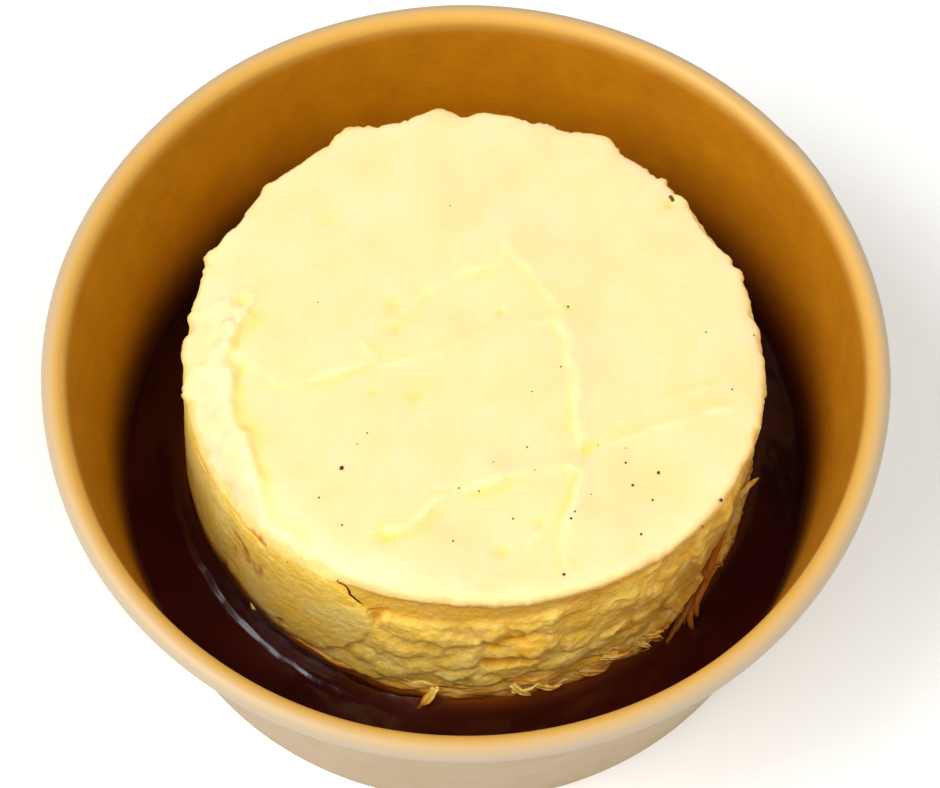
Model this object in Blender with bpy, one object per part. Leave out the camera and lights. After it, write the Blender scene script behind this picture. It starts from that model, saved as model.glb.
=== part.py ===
"""Chicken parmentier in a kraft paper bowl.

A ring-moulded round of pulled chicken under mashed potato stands in dark gravy on the
floor of a round paper bowl with a rolled rim. Metres, +Z up. The origin is the centre of
the ring that the bowl stands on, and -Y is the side that faces the eater.
"""

import math

import bmesh
import bpy
from mathutils import Vector, noise

MM = 0.001

# The bowl: a cone of paper with a rolled rim, and a floor pressed in from below. The curl
# comes back to the cone a share of its radius under its centre.
BOWL_HEIGHT = 0.0600
RIM_RADIUS = 0.0750
FOOT_RADIUS = 0.0646
CURL_RADIUS = 0.00215
CURL_RETURN = 0.62
PAPER = 0.0006
FLOOR_HEIGHT = 0.0060
HEM_HEIGHT = 0.0050
BOWL_SIDES = 60
CURL_SIDES = 11

# Clear space between pieces that touch.
GAP = 0.0003

# The food: widest where it has sunk a little at its foot, narrowest at its levelled top.
FOOD_HEIGHT = 0.0530
FOOD_FOOT_RADIUS = 0.0547
FOOD_TOP_RADIUS = 0.0513
FOOD_CENTRE_Y = 0.0040
FOOD_TOP_LEAN_X = 0.0015
TOP_OVAL = 0.0011
TOP_SKEW = 0.0007
TOP_THREE_SIDES = 0.0006
EDGE_HEIGHT = 0.0035
COLUMNS = 112
ARC_OF_DEGREE = math.radians(1) * (FOOD_FOOT_RADIUS + FOOD_TOP_RADIUS) / 2

# The gravy round the food, drawn up a little where it wets the food and the paper.
GRAVY_LEVEL = 0.0158
GRAVY_CLIMB = 0.0009
CLIMB_WIDTH = 0.0022
CLIMB_SAG = 0.35
CLIMB_KNEE = 0.4

# The join between chicken and potato, and where it rises and dips, in degrees.
JOIN_HEIGHT = 0.0212
JOIN_RISE = 0.0040
JOIN_RISE_ANGLE = -74
JOIN_RISE_SPREAD = 14
JOIN_DIP = 0.0046
JOIN_DIP_ANGLE = -165
JOIN_DIP_SPREAD = 48
JOIN_WAVE = 0.0011
JOIN_WAVES = 3.1

# Swells and flakes of the side. Both are taller than wide.
SWELL_SIZE = 0.0110
SWELL_DEPTH = 0.0010
FLAKE_SIZE = 0.0050
FLAKE_DEPTH = 0.0007
FLATNESS = 0.6
CALM_ANGLE = -172
CALM_SPREAD = 34

# Lumps of the side that the eater sees, and hollows where mash broke out: angle in degrees,
# then height, half width along the side, half height and depth in millimetres.
FRONT_LUMPS = (
    (-148, 31, 5.5, 8.0, 0.9),
    (-105, 26, 5.5, 4.5, 1.0),
    (-95, 38, 6.5, 4.5, 1.1),
    (-92, 26, 5.0, 4.0, 1.0),
    (-76, 35, 5.0, 5.5, 1.6),
    (-71, 44, 4.5, 4.0, 0.9),
    (-69, 27, 5.5, 4.5, 1.4),
    (-59, 39, 5.0, 5.5, 1.1),
    (-53, 30, 5.0, 4.5, 1.1),
    (-43, 41, 4.0, 5.0, 0.9),
    (-36, 33, 4.5, 5.0, 1.0),
)
FRONT_HOLLOWS = (
    (-82, 30, 5.0, 4.0, 1.9),
    (-109, 43, 3.4, 4.0, 1.2),
    (-138, 38, 4.0, 3.5, 0.5),
)
LUMP_ROUNDNESS = 0.75

# The patch that was pressed flat stands a step proud, and a band sags in under the front of
# the top's edge. Angles are in degrees.
PATCH_FROM = -140
PATCH_TO = -114
PATCH_LOW = 0.0215
PATCH_STEP = 0.0004
BAND_FROM = -112
BAND_TO = -28
BAND_LOW = 0.0432
BAND_RISE = 0.0075
BAND_DEPTH = 0.0008
FADE_ANGLE = 5
FADE_HEIGHT = 0.0025

# The top's ragged edge: angle and half width in degrees, and how far it stands out.
EDGE_TEETH = (
    (118, 4, 0.0028),
    (98, 4, 0.0014),
    (61, 5, 0.0018),
    (30, 6, -0.0019),
    (180, 4, 0.0010),
    (160, 5, 0.0012),
)
TOOTH_SIZE = 0.0030
TOOTH_DEPTH = 0.0011

# Marks of the palette knife on the top, as paths in millimetres from the origin, with the
# height of the crest that the knife left and its half width in metres.
KNIFE_CRESTS = (
    (((7, 25), (13, 18), (16, 12), (18, 4), (20, -4), (20, -13)), 0.0008, 0.0027),
    (((-12, 10), (-8, 14), (-1, 19), (6, 21), (7, 25)), 0.0007, 0.0026),
    (((-19, 4), (-15, -1), (-3, 3), (3, 7), (14, 9)), 0.0007, 0.0026),
    (((-42, 2), (-33, -4), (-26, -3), (-17, 1)), 0.0008, 0.0029),
    (((-13, -33), (-9, -32), (-6, -28), (-2, -25), (7, -22), (18, -20)), 0.0009, 0.0029),
    (((20, -17), (21, -21), (18, -29), (17, -38)), 0.0009, 0.0029),
    (((24, -16), (35, -12), (44, -9), (51, -6)), 0.0006, 0.0027),
)
LIP_PATH = ((-44, 14), (-46, 0), (-44, -12), (-40, -22), (-34, -30), (-26, -36))
LIP_HEIGHT = 0.0013
LIP_WIDTH = 0.0042
SHOULDER_ANGLE = -150
SHOULDER_SPREAD = 34
SHOULDER_DROP = 0.0030
SHOULDER_RISE = 0.09
SHOULDER_REACH = 0.07
TOP_SWELL_SIZE = 0.0190
TOP_SWELL_DEPTH = 0.0007

# Rows of points: steps up the potato's side, and shares of the way up or out elsewhere.
POTATO_ROWS = 12
TOP_ROWS = (0.975, 0.92, 0.85, 0.76, 0.67, 0.58, 0.49, 0.4, 0.3, 0.19, 0.08)
JOIN_ROWS = (0.3, 0.6, 0.85)
CHICKEN_ROWS = (0, 0.35, 0.55, 0.7, 0.85, 1)
CHICKEN_FOOT_ROW = 0.5

# The chicken is tucked in under the potato at the join's rise, and stands proud beside it.
HOLLOW_DEPTH = 0.0016
HOLLOW_SPREAD = 16
HOLLOW_RISE = 0.3
PROUD_FROM = -66
PROUD_TO = 12
PROUD_DEPTH = 0.0009

# Shreds of chicken on the side, each from one angle to another in degrees. Heights are
# shares of the band of chicken that shows, and the last value is how far the shred bows out
# from the side in millimetres.
SHREDS = (
    (-99, 0.9, -97, 0.0, 2.6),
    (-80, 0.7, -73, 0.9, 0.8),
    (-67, 0.3, -59, 0.1, 1.0),
    (-61, 0.9, -54, 0.2, 1.5),
    (-53, 0.9, -47, 0.6, 1.4),
    (-49, 0.1, -41, 0.0, 1.8),
    (-44, 1.0, -39, 0.0, 2.8),
    (-39, 0.8, -35, 0.0, 3.4),
    (-36, 1.0, -28, 0.7, 1.4),
    (-30, 0.1, -22, 0.2, 1.3),
    (-24, 0.9, -17, 0.8, 1.2),
    (-14, 0.8, -10, 0.3, 3.8),
    (8, 0.8, 15, 0.2, 1.2),
    (48, 0.2, 56, 0.7, 1.1),
    (95, 0.8, 103, 0.2, 1.2),
    (141, 0.3, 148, 0.4, 1.1),
)
SHRED_WIDTH = 0.0014
SHRED_HEIGHT = 1.24
SHRED_CORNERS = 4
SHRED_STEPS = 5
SHRED_ROOT = 0.0012
SHRED_BEND = 0.78
SHRED_TAPER = 0.45


def bump(value, middle, spread):
    """A smooth hill from 0 to 1."""
    return math.exp(-(((value - middle) / spread) ** 2))


def turn_between(angle, middle):
    """The angle in degrees from one direction to another, the short way round."""
    return (math.degrees(angle) - middle + 180) % 360 - 180


def angle_bump(angle, middle, spread):
    """A smooth hill on an arc of the side, with its angles in degrees."""
    return bump(turn_between(angle, middle), 0, spread)


def ramp(value, low, high):
    """A smooth rise from 0 at low to 1 at high."""
    share = min(max((value - low) / (high - low), 0), 1)
    return share * share * (3 - 2 * share)


def arc_share(angle, first, last):
    """1 on an arc of the side between two directions in degrees, which fades at both ends."""
    middle = (first + last) / 2
    half = (last - first) / 2
    return ramp(half - abs(turn_between(angle, middle)), -FADE_ANGLE, FADE_ANGLE)


def standing(angle, height, lumps):
    """How far the highest of the lumps stands out at a point of the side."""
    best = 0.0
    for middle, level, wide, tall, stand in lumps:
        across = turn_between(angle, middle) * ARC_OF_DEGREE / (wide * MM)
        along = (height - level * MM) / (tall * MM)
        inside = 1 - across ** 2 - along ** 2
        if inside > 0:
            best = max(best, stand * MM * inside ** LUMP_ROUNDNESS)
    return best


def distance_to_path(x, y, path):
    """How far a point of the top is from a path given in millimetres."""
    spot = Vector((x, y))
    points = [Vector(point) * MM for point in path]
    nearest = (spot - points[0]).length
    for start, end in zip(points, points[1:]):
        along = end - start
        share = (spot - start).dot(along) / along.length_squared
        foot = start + along * min(max(share, 0), 1)
        nearest = min(nearest, (spot - foot).length)
    return nearest


def side_relief(angle, height):
    """How far the crumbly side stands out of its plain outline."""
    height = max(height, GRAVY_LEVEL + GRAVY_CLIMB)
    spot = Vector((math.cos(angle), math.sin(angle), 0)) * FOOD_FOOT_RADIUS
    spot.z = height * FLATNESS
    swells = noise.noise(spot / SWELL_SIZE) * SWELL_DEPTH
    flakes = noise.noise(spot / FLAKE_SIZE) * FLAKE_DEPTH
    patch = arc_share(angle, PATCH_FROM, PATCH_TO) * ramp(height, PATCH_LOW, PATCH_LOW + FADE_HEIGHT)
    calm = max(angle_bump(angle, CALM_ANGLE, CALM_SPREAD), patch)
    low = BAND_LOW + BAND_RISE * ramp(turn_between(angle, BAND_TO), BAND_FROM - BAND_TO, 0)
    band = arc_share(angle, BAND_FROM, BAND_TO) * ramp(height, low - FADE_HEIGHT, low)
    lumps = standing(angle, height, FRONT_LUMPS) - standing(angle, height, FRONT_HOLLOWS)
    return (swells + flakes) * (1 - 0.75 * calm) + lumps + patch * PATCH_STEP - band * BAND_DEPTH


def edge_relief(angle):
    """How far the ragged edge of the top stands out of its plain outline."""
    spot = Vector((math.cos(angle), math.sin(angle), 0)) * FOOD_TOP_RADIUS
    out = noise.noise(spot / TOOTH_SIZE) * TOOTH_DEPTH
    for middle, spread, depth in EDGE_TEETH:
        out += angle_bump(angle, middle, spread) * depth
    return out


def side_radius(angle, height):
    """The side's distance from its upright centre line."""
    rise = max(height - GRAVY_LEVEL, 0) / (FOOD_HEIGHT - GRAVY_LEVEL)
    rise = min(rise, 1)
    top = FOOD_TOP_RADIUS + TOP_OVAL * math.cos(2 * angle) - TOP_SKEW * math.sin(2 * angle)
    top -= TOP_THREE_SIDES * math.sin(3 * angle)
    near_edge = bump(height, FOOD_HEIGHT, EDGE_HEIGHT)
    plain = FOOD_FOOT_RADIUS + (top - FOOD_FOOT_RADIUS) * rise
    return plain + side_relief(angle, height) * (1 - near_edge) + edge_relief(angle) * near_edge


def food_point(angle, height, share=1.0, drop=0.0):
    """A point of the food: share is 1 on its side and 0 on its centre line."""
    rise = min(max(height - GRAVY_LEVEL, 0) / (FOOD_HEIGHT - GRAVY_LEVEL), 1)
    radius = side_radius(angle, height) * share
    return Vector((
        FOOD_TOP_LEAN_X * rise + radius * math.cos(angle),
        FOOD_CENTRE_Y + radius * math.sin(angle),
        height - drop,
    ))


def shoulder(angle, rise):
    """How far the top's edge sags where the potato was pushed over the side."""
    sagging = angle_bump(angle, SHOULDER_ANGLE, SHOULDER_SPREAD)
    return SHOULDER_DROP * sagging * bump(rise, 1, SHOULDER_RISE)


def join_height(angle, share):
    """The height of the layer of chicken under the potato."""
    rise = angle_bump(angle, JOIN_RISE_ANGLE, JOIN_RISE_SPREAD) * JOIN_RISE
    dip = angle_bump(angle, JOIN_DIP_ANGLE, JOIN_DIP_SPREAD) * JOIN_DIP
    wave = noise.noise(Vector((math.cos(angle), math.sin(angle), 0.7)) * JOIN_WAVES) * JOIN_WAVE
    return JOIN_HEIGHT + (rise - dip + wave) * share ** 2


def top_height(x, y):
    """The height of the smeared top, with the crests that the palette knife left."""
    height = FOOD_HEIGHT + noise.noise(Vector((x, y, 0)) / TOP_SWELL_SIZE) * TOP_SWELL_DEPTH
    for path, crest, width in KNIFE_CRESTS:
        height += crest * bump(distance_to_path(x, y, path), 0, width)
    return height + LIP_HEIGHT * bump(distance_to_path(x, y, LIP_PATH), 0, LIP_WIDTH)


def paper_inner_radius(height):
    """The inner face of the bowl's slanted wall."""
    inner_top = RIM_RADIUS - 2 * CURL_RADIUS
    inner_foot = FOOT_RADIUS - PAPER
    return inner_foot + (inner_top - inner_foot) * height / (BOWL_HEIGHT - CURL_RADIUS)


def named_material(name, colour, roughness, coat=0.0):
    """A Principled material with one plain colour."""
    material = bpy.data.materials.new(name)
    material.use_nodes = True
    shader = material.node_tree.nodes["Principled BSDF"]
    shader.inputs["Base Color"].default_value = (*colour, 1)
    shader.inputs["Roughness"].default_value = roughness
    shader.inputs["Metallic"].default_value = 0.0
    shader.inputs["Coat Weight"].default_value = coat
    material.diffuse_color = (*colour, 1)
    return material


def finished(name, mesh, material, sharp_angle):
    """The object of a bmesh, smooth-shaded between its sharp edges."""
    bmesh.ops.recalc_face_normals(mesh, faces=mesh.faces)
    data = bpy.data.meshes.new(name)
    mesh.to_mesh(data)
    mesh.free()
    data.shade_smooth()
    data.set_sharp_from_angle(angle=math.radians(sharp_angle))
    data.materials.append(material)
    item = bpy.data.objects.new(name, data)
    bpy.context.scene.collection.objects.link(item)
    return item


def turned(name, profile, closed, material):
    """A solid of revolution about the Z axis."""
    mesh = bmesh.new()
    points = [mesh.verts.new((radius, 0, height)) for radius, height in profile]
    for start, end in zip(points, points[1:]):
        mesh.edges.new((start, end))
    if closed:
        mesh.edges.new((points[-1], points[0]))
    bmesh.ops.spin(
        mesh,
        geom=mesh.verts[:] + mesh.edges[:],
        cent=(0, 0, 0),
        axis=(0, 0, 1),
        angle=math.tau,
        steps=BOWL_SIDES,
        use_merge=True,
    )
    bmesh.ops.remove_doubles(mesh, verts=mesh.verts, dist=1e-6)
    return finished(name, mesh, material, 35)


def raised(name, rows, material, closed=False):
    """A solid drawn up from a ring of points, one row after another.

    Each row is a function from an angle to a point. An open stack is shut by a point in
    the middle of its first row and of its last, and a closed one ends where it began.
    """
    mesh = bmesh.new()
    column = mesh.verts.layers.int.new("column")
    ring = bmesh.ops.create_circle(mesh, segments=COLUMNS, radius=1)["verts"]
    for index, vert in enumerate(ring):
        vert[column] = index
    edges = mesh.edges[:]
    first = list(ring)
    for number, place in enumerate(rows):
        if number:
            drawn = bmesh.ops.extrude_edge_only(mesh, edges=edges)["geom"]
            ring = [part for part in drawn if isinstance(part, bmesh.types.BMVert)]
            here = set(ring)
            edges = [
                part
                for part in drawn
                if isinstance(part, bmesh.types.BMEdge) and here.issuperset(part.verts)
            ]
        for vert in ring:
            vert.co = place(math.tau * vert[column] / COLUMNS)
    if closed:
        bmesh.ops.remove_doubles(mesh, verts=mesh.verts, dist=1e-6)
        return finished(name, mesh, material, 60)
    for end, end_edges in ((first, None), (ring, edges)):
        ends = end_edges or [edge for edge in mesh.edges if set(edge.verts) <= set(end)]
        drawn = bmesh.ops.extrude_edge_only(mesh, edges=ends)["geom"]
        inner = [part for part in drawn if isinstance(part, bmesh.types.BMVert)]
        middle = sum((vert.co for vert in inner), Vector()) / len(inner)
        bmesh.ops.pointmerge(mesh, verts=inner, merge_co=middle)
    return finished(name, mesh, material, 60)


def make_wall(material):
    """The paper cone, its rolled rim and the hem folded in round the floor's flange."""
    curl_centre = RIM_RADIUS - CURL_RADIUS
    curl_height = BOWL_HEIGHT - CURL_RADIUS
    outer_slope = (paper_inner_radius(curl_height) + PAPER - FOOT_RADIUS) / curl_height
    meet_height = curl_height - CURL_RADIUS * CURL_RETURN
    meet_radius = FOOT_RADIUS + outer_slope * meet_height
    start = math.atan2(meet_height - curl_height, meet_radius - curl_centre)
    profile = [(FOOT_RADIUS, 0), (meet_radius, meet_height)]
    for step in range(1, CURL_SIDES + 1):
        angle = start + (math.pi - start) * step / CURL_SIDES
        profile.append((
            curl_centre + CURL_RADIUS * math.cos(angle),
            curl_height + CURL_RADIUS * math.sin(angle),
        ))
    hem_outer = paper_inner_radius(PAPER) - 2 * GAP - PAPER
    profile += [
        (paper_inner_radius(PAPER), PAPER),
        (hem_outer, PAPER),
        (hem_outer, HEM_HEIGHT),
        (hem_outer - PAPER, HEM_HEIGHT),
        (hem_outer - PAPER, 0),
    ]
    return turned("bowl_wall", profile, True, material)


def make_floor(material):
    """The paper disc that the food stands on, with its flange held in the wall's hem."""
    low = PAPER + GAP
    under = FLOOR_HEIGHT - PAPER
    profile = [
        (0, FLOOR_HEIGHT),
        (paper_inner_radius(FLOOR_HEIGHT) - GAP, FLOOR_HEIGHT),
        (paper_inner_radius(low) - GAP, low),
        (paper_inner_radius(low) - GAP - PAPER, low),
        (paper_inner_radius(low) - GAP - PAPER, under),
        (0, under),
    ]
    return turned("bowl_floor", profile, False, material)


def make_gravy(material):
    """The pool of gravy between the food and the paper."""
    bottom = FLOOR_HEIGHT + GAP
    level = GRAVY_LEVEL

    def beside_food(height, out):
        return lambda angle: food_point(angle, height) + Vector((
            (GAP + out) * math.cos(angle),
            (GAP + out) * math.sin(angle),
            0,
        ))

    def beside_paper(height, inwards):
        radius = paper_inner_radius(height) - GAP - inwards
        return lambda angle: Vector((radius * math.cos(angle), radius * math.sin(angle), height))

    def halfway(angle):
        near = beside_food(level, CLIMB_WIDTH)(angle)
        far = beside_paper(level, CLIMB_WIDTH)(angle)
        return (near + far) / 2

    rows = (
        beside_food(bottom, 0),
        beside_food(level + GRAVY_CLIMB, 0),
        beside_food(level + GRAVY_CLIMB * CLIMB_SAG, CLIMB_WIDTH * CLIMB_KNEE),
        beside_food(level, CLIMB_WIDTH),
        halfway,
        beside_paper(level, CLIMB_WIDTH),
        beside_paper(level + GRAVY_CLIMB, 0),
        beside_paper(bottom, 0),
        beside_food(bottom, 0),
    )
    return raised("gravy", rows, material, closed=True)


def make_potato(material):
    """The mashed potato: a crumbly side under a smeared top with a ragged edge."""

    def on_join(share):
        return lambda angle: food_point(angle, join_height(angle, share) + GAP, share)

    def on_side(rise):
        def place(angle):
            low = join_height(angle, 1) + GAP
            return food_point(angle, low + (FOOD_HEIGHT - low) * rise, drop=shoulder(angle, rise))

        return place

    def on_top(share):
        def place(angle):
            point = food_point(angle, FOOD_HEIGHT, share)
            point.z = top_height(point.x, point.y)
            point.z -= shoulder(angle, 1) * bump(share, 1, SHOULDER_REACH)
            return point

        return place

    rows = [on_join(share) for share in (*JOIN_ROWS, 1.0)]
    rows += [on_side(step / POTATO_ROWS) for step in range(1, POTATO_ROWS + 1)]
    rows += [on_top(share) for share in TOP_ROWS]
    return raised("potato", rows, material)


def make_chicken(material):
    """The layer of pulled chicken, with the loose shreds of its side fused on."""
    bottom = FLOOR_HEIGHT + GAP

    def on_side(rise):
        def place(angle):
            height = bottom + (join_height(angle, 1) - bottom) * rise
            hollow = angle_bump(angle, JOIN_RISE_ANGLE, HOLLOW_SPREAD) * HOLLOW_DEPTH
            dry = GRAVY_LEVEL + GRAVY_CLIMB
            proud = arc_share(angle, PROUD_FROM, PROUD_TO) * ramp(height, dry, dry + FADE_HEIGHT)
            out = proud * PROUD_DEPTH * (1 - bump(rise, 1, HOLLOW_RISE / 2))
            out -= hollow * bump(rise, 1, HOLLOW_RISE)
            return food_point(angle, height, 1 + out / FOOD_FOOT_RADIUS)

        return place

    def on_join(share):
        return lambda angle: food_point(angle, join_height(angle, share), share)

    rows = [lambda angle: food_point(angle, bottom, CHICKEN_FOOT_ROW)]
    rows += [on_side(rise) for rise in CHICKEN_ROWS]
    rows += [on_join(share) for share in reversed(JOIN_ROWS)]
    core = raised("chicken", rows, material)
    shreds = bpy.data.collections.new("shreds")
    bpy.context.scene.collection.children.link(shreds)
    for number, shred in enumerate(SHREDS):
        piece = make_shred(f"shred_{number}", shred, material)
        bpy.context.scene.collection.objects.unlink(piece)
        shreds.objects.link(piece)
    union = core.modifiers.new("shreds", "BOOLEAN")
    union.operation = "UNION"
    union.operand_type = "COLLECTION"
    union.collection = shreds
    union.solver = "EXACT"
    bpy.context.view_layer.objects.active = core
    bpy.ops.object.modifier_apply(modifier=union.name)
    for piece in list(shreds.objects):
        bpy.data.objects.remove(piece, do_unlink=True)
    bpy.data.collections.remove(shreds)
    return core


def make_shred(name, shred, material):
    """One strip of pulled chicken that leaves the side and bows out along it."""
    start_angle, start_share, end_angle, end_share, off = shred
    mesh = bmesh.new()
    corner = mesh.verts.layers.int.new("corner")
    ring = bmesh.ops.create_circle(mesh, cap_ends=True, segments=SHRED_CORNERS, radius=1)["verts"]
    for index, vert in enumerate(ring):
        vert[corner] = index
    face = mesh.faces[:][0]
    for step in range(SHRED_STEPS + 1):
        share = step / SHRED_STEPS
        if step:
            drawn = bmesh.ops.extrude_face_region(mesh, geom=[face])["geom"]
            if step > 1:
                mesh.faces.remove(face)
            face = next(part for part in drawn if isinstance(part, bmesh.types.BMFace))
        angle = math.radians(start_angle + (end_angle - start_angle) * share)
        low = GRAVY_LEVEL + GRAVY_CLIMB + SHRED_WIDTH
        high = join_height(angle, 1) - SHRED_WIDTH
        band = start_share + (end_share - start_share) * share
        out = Vector((math.cos(angle), math.sin(angle), 0))
        bow = math.sin(SHRED_BEND * math.pi * share) * off * MM - SHRED_ROOT * (1 - share) ** 2
        middle = food_point(angle, low + (high - low) * band) + out * bow
        taper = 1 - SHRED_TAPER * (1 - math.sin(math.pi * (0.15 + 0.7 * share)))
        half = SHRED_WIDTH * taper / 2
        for vert in face.verts:
            turn = math.tau * (vert[corner] + 0.5) / SHRED_CORNERS
            vert.co = middle + out * math.cos(turn) * half
            vert.co.z += math.sin(turn) * half * SHRED_HEIGHT
    return finished(name, mesh, material, 60)


def main():
    for item in list(bpy.data.objects):
        bpy.data.objects.remove(item, do_unlink=True)
    paper = named_material("kraft_paper", (0.52, 0.30, 0.10), 0.55)
    make_wall(paper)
    make_floor(paper)
    make_gravy(named_material("dark_gravy", (0.025, 0.006, 0.002), 0.12, coat=0.6))
    make_chicken(named_material("pulled_chicken", (0.42, 0.22, 0.07), 0.5))
    make_potato(named_material("mashed_potato", (0.94, 0.80, 0.42), 0.5))


if __name__ == "__main__":
    main()
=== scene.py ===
"""Chicken parmentier in a kraft paper bowl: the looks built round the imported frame.

Laid out as an add-on with one operator for each piece. All sizes are in metres, +Z up, and
-Y is the side that faces the eater.
"""

import math
import random

import bmesh
import bpy
from bpy.props import FloatProperty, FloatVectorProperty, IntProperty, PointerProperty
from mathutils import Matrix, Vector, noise


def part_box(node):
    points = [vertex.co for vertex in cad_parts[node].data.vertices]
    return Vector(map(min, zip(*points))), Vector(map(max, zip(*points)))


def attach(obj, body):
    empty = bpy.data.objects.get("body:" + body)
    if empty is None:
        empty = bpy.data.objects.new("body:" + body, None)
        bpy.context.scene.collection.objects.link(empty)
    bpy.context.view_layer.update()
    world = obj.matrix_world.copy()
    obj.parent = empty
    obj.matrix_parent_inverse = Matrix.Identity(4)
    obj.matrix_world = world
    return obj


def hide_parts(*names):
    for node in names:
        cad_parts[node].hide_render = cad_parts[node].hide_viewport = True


bl_info = {
    "name": "Chicken Parmentier Bowl",
    "version": (1, 0, 0),
    "blender": (4, 5, 0),
    "location": "View3D > Sidebar > Parmentier",
    "description": "Makes a moulded round of pulled chicken and mash in gravy in a paper bowl",
    "category": "Add Mesh",
}

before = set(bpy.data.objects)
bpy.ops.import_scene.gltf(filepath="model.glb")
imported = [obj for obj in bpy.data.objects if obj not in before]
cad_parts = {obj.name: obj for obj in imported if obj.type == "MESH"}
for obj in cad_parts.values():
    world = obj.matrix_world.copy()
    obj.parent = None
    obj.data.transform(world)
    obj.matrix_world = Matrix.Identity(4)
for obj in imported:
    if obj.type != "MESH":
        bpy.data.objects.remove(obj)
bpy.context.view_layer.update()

MM = 0.001

# The bowl, read from the frame.
BOWL_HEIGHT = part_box("bowl_wall")[1].z
RIM_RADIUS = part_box("bowl_wall")[1].x
FLOOR_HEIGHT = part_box("bowl_floor")[1].z
CURL_RADIUS = 2.15 * MM
# How far under the curl's middle the wall meets it, in radii of the curl.
CURL_MEET = 0.62
FOOT_RADIUS = RIM_RADIUS - 10.4 * MM
PAPER = 0.6 * MM
HEM_HEIGHT = 5.0 * MM

# The food's plain outline, and the gravy that stands round it.
FOOD_HEIGHT = 53.0 * MM
FOOD_FOOT_RADIUS = 54.7 * MM
FOOD_TOP_RADIUS = 51.3 * MM
FOOD_CENTRE_Y = 4.0 * MM
FOOD_TOP_LEAN_X = 1.5 * MM
GRAVY_CLIMB = 0.9 * MM
GRAVY_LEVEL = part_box("gravy")[1].z - GRAVY_CLIMB
# How far the gravy reaches in behind the food's side.
GRAVY_TUCK = 1.6 * MM
# How far one degree reaches along the food's side, in millimetres.
ARC_OF_DEGREE = math.radians(1) * 53.0

# The join between chicken and potato, and where it rises and dips, in degrees.
JOIN_HEIGHT = 21.2 * MM
JOIN_RISE, JOIN_RISE_ANGLE, JOIN_RISE_SPREAD = 4.0 * MM, -74, 14
JOIN_DIP, JOIN_DIP_ANGLE, JOIN_DIP_SPREAD = 4.6 * MM, -165, 48
# Heights of the chicken's hidden rows, where its close rows start, and how far it reaches up
# into the potato.
CHICKEN_LOW_ROWS = (10 * MM, 13.5 * MM)
CHICKEN_START = 14.5 * MM
CHICKEN_OVERLAP = 1.2 * MM

# Swells of the side, and how much flatter than wide they are.
SWELL_SIZE = 11.0 * MM
SWELL_DEPTH = 0.8 * MM
FLATNESS = 0.6
# Where the side is smoothest, in degrees.
CALM_ANGLE, CALM_SPREAD = -172, 34

# Lumps of the side that the eater sees: angle in degrees, then height, half width along the
# side, half height and how far the lump stands out, in millimetres.
FRONT_LUMPS = (
    (-148, 31.0, 5.0, 8.0, 0.9), (-142, 48.0, 2.6, 3.0, 0.8), (-144, 22.5, 3.0, 3.6, 0.8),
    (-126, 47.8, 5.6, 2.4, 0.7), (-110, 26.5, 2.9, 3.6, 0.9), (-108, 35.4, 2.9, 2.8, 0.8),
    (-104, 24.6, 3.8, 2.8, 1.1), (-103, 33.0, 3.0, 2.6, 0.9), (-103, 40.0, 3.6, 3.0, 0.7),
    (-99, 26.6, 3.2, 3.0, 0.9), (-95, 38.4, 6.2, 3.0, 1.1), (-92, 30.0, 4.0, 3.0, 1.0),
    (-92, 24.8, 3.2, 2.1, 1.1), (-85, 40.0, 2.6, 2.4, 0.9), (-85, 22.9, 4.2, 2.1, 1.1),
    (-79, 42.2, 3.0, 1.9, 0.8), (-76, 34.8, 3.5, 4.0, 1.7), (-71, 44.4, 3.6, 3.4, 1.0),
    (-70, 26.4, 4.5, 3.5, 1.5), (-68, 31.6, 3.0, 3.4, 1.2), (-63, 27.0, 2.4, 2.6, 1.1),
    (-59, 39.0, 4.4, 4.6, 1.2), (-60, 30.0, 3.6, 3.2, 1.1), (-53, 29.2, 2.8, 3.0, 1.1),
    (-52, 37.5, 2.8, 4.6, 1.1), (-47, 32.2, 2.0, 4.2, 0.9), (-48, 42.2, 2.2, 2.6, 0.8),
    (-46, 25.4, 2.0, 3.0, 0.9), (-40, 41.0, 2.6, 3.6, 0.9), (-38, 32.6, 2.6, 3.6, 1.0),
    (-31, 43.0, 2.6, 4.0, 0.8), (-29, 33.0, 2.6, 4.0, 0.9),
)
# How much wider than itself a lump is looked for, because noise moves its edge.
LUMP_REACH = 1.15
# How full a lump is, how much shorter it is under its middle, and how far it hangs.
LUMP_ROUNDNESS = 0.6
LUMP_UNDERCUT = 1.35
LUMP_DROOP = 0.5
# The torn rest of the side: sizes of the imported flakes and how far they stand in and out.
FLAKE_SIZES = (7.6 * MM, 3.6 * MM, 1.7 * MM)
FLAKE_STANDS = (0.50, 0.25, 0.14)
FLAKE_LEAN = 0.55
FLAKE_CREASE = 0.3
# Softer unevenness that runs over the flakes: how far apart its swells are and how high.
MOUNDS = ((4.4 * MM, 0.55), (2.3 * MM, 0.20), (1.2 * MM, 0.08))

# Patches where the side is bruised brown, listed like the lumps.
BRUISES = (
    (-140, 38.0, 3.0, 3.8, 1.5), (-135.5, 36.6, 2.2, 3.0, 1.2), (-137, 50.2, 2.6, 1.7, 1.2),
    (-133, 39.5, 1.6, 1.6, 0.3), (-129.3, 24.2, 1.3, 1.1, 1.6), (-84, 30.4, 3.0, 1.6, 0.4),
)
# Where gravy has soaked highest into the food's foot, in degrees.
SOAK_ANGLE, SOAK_SPREAD = -140, 36

# Where the gravy has set in a skin round the food, in degrees.
SKIN_ANGLE, SKIN_SPREAD = -136, 32

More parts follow.
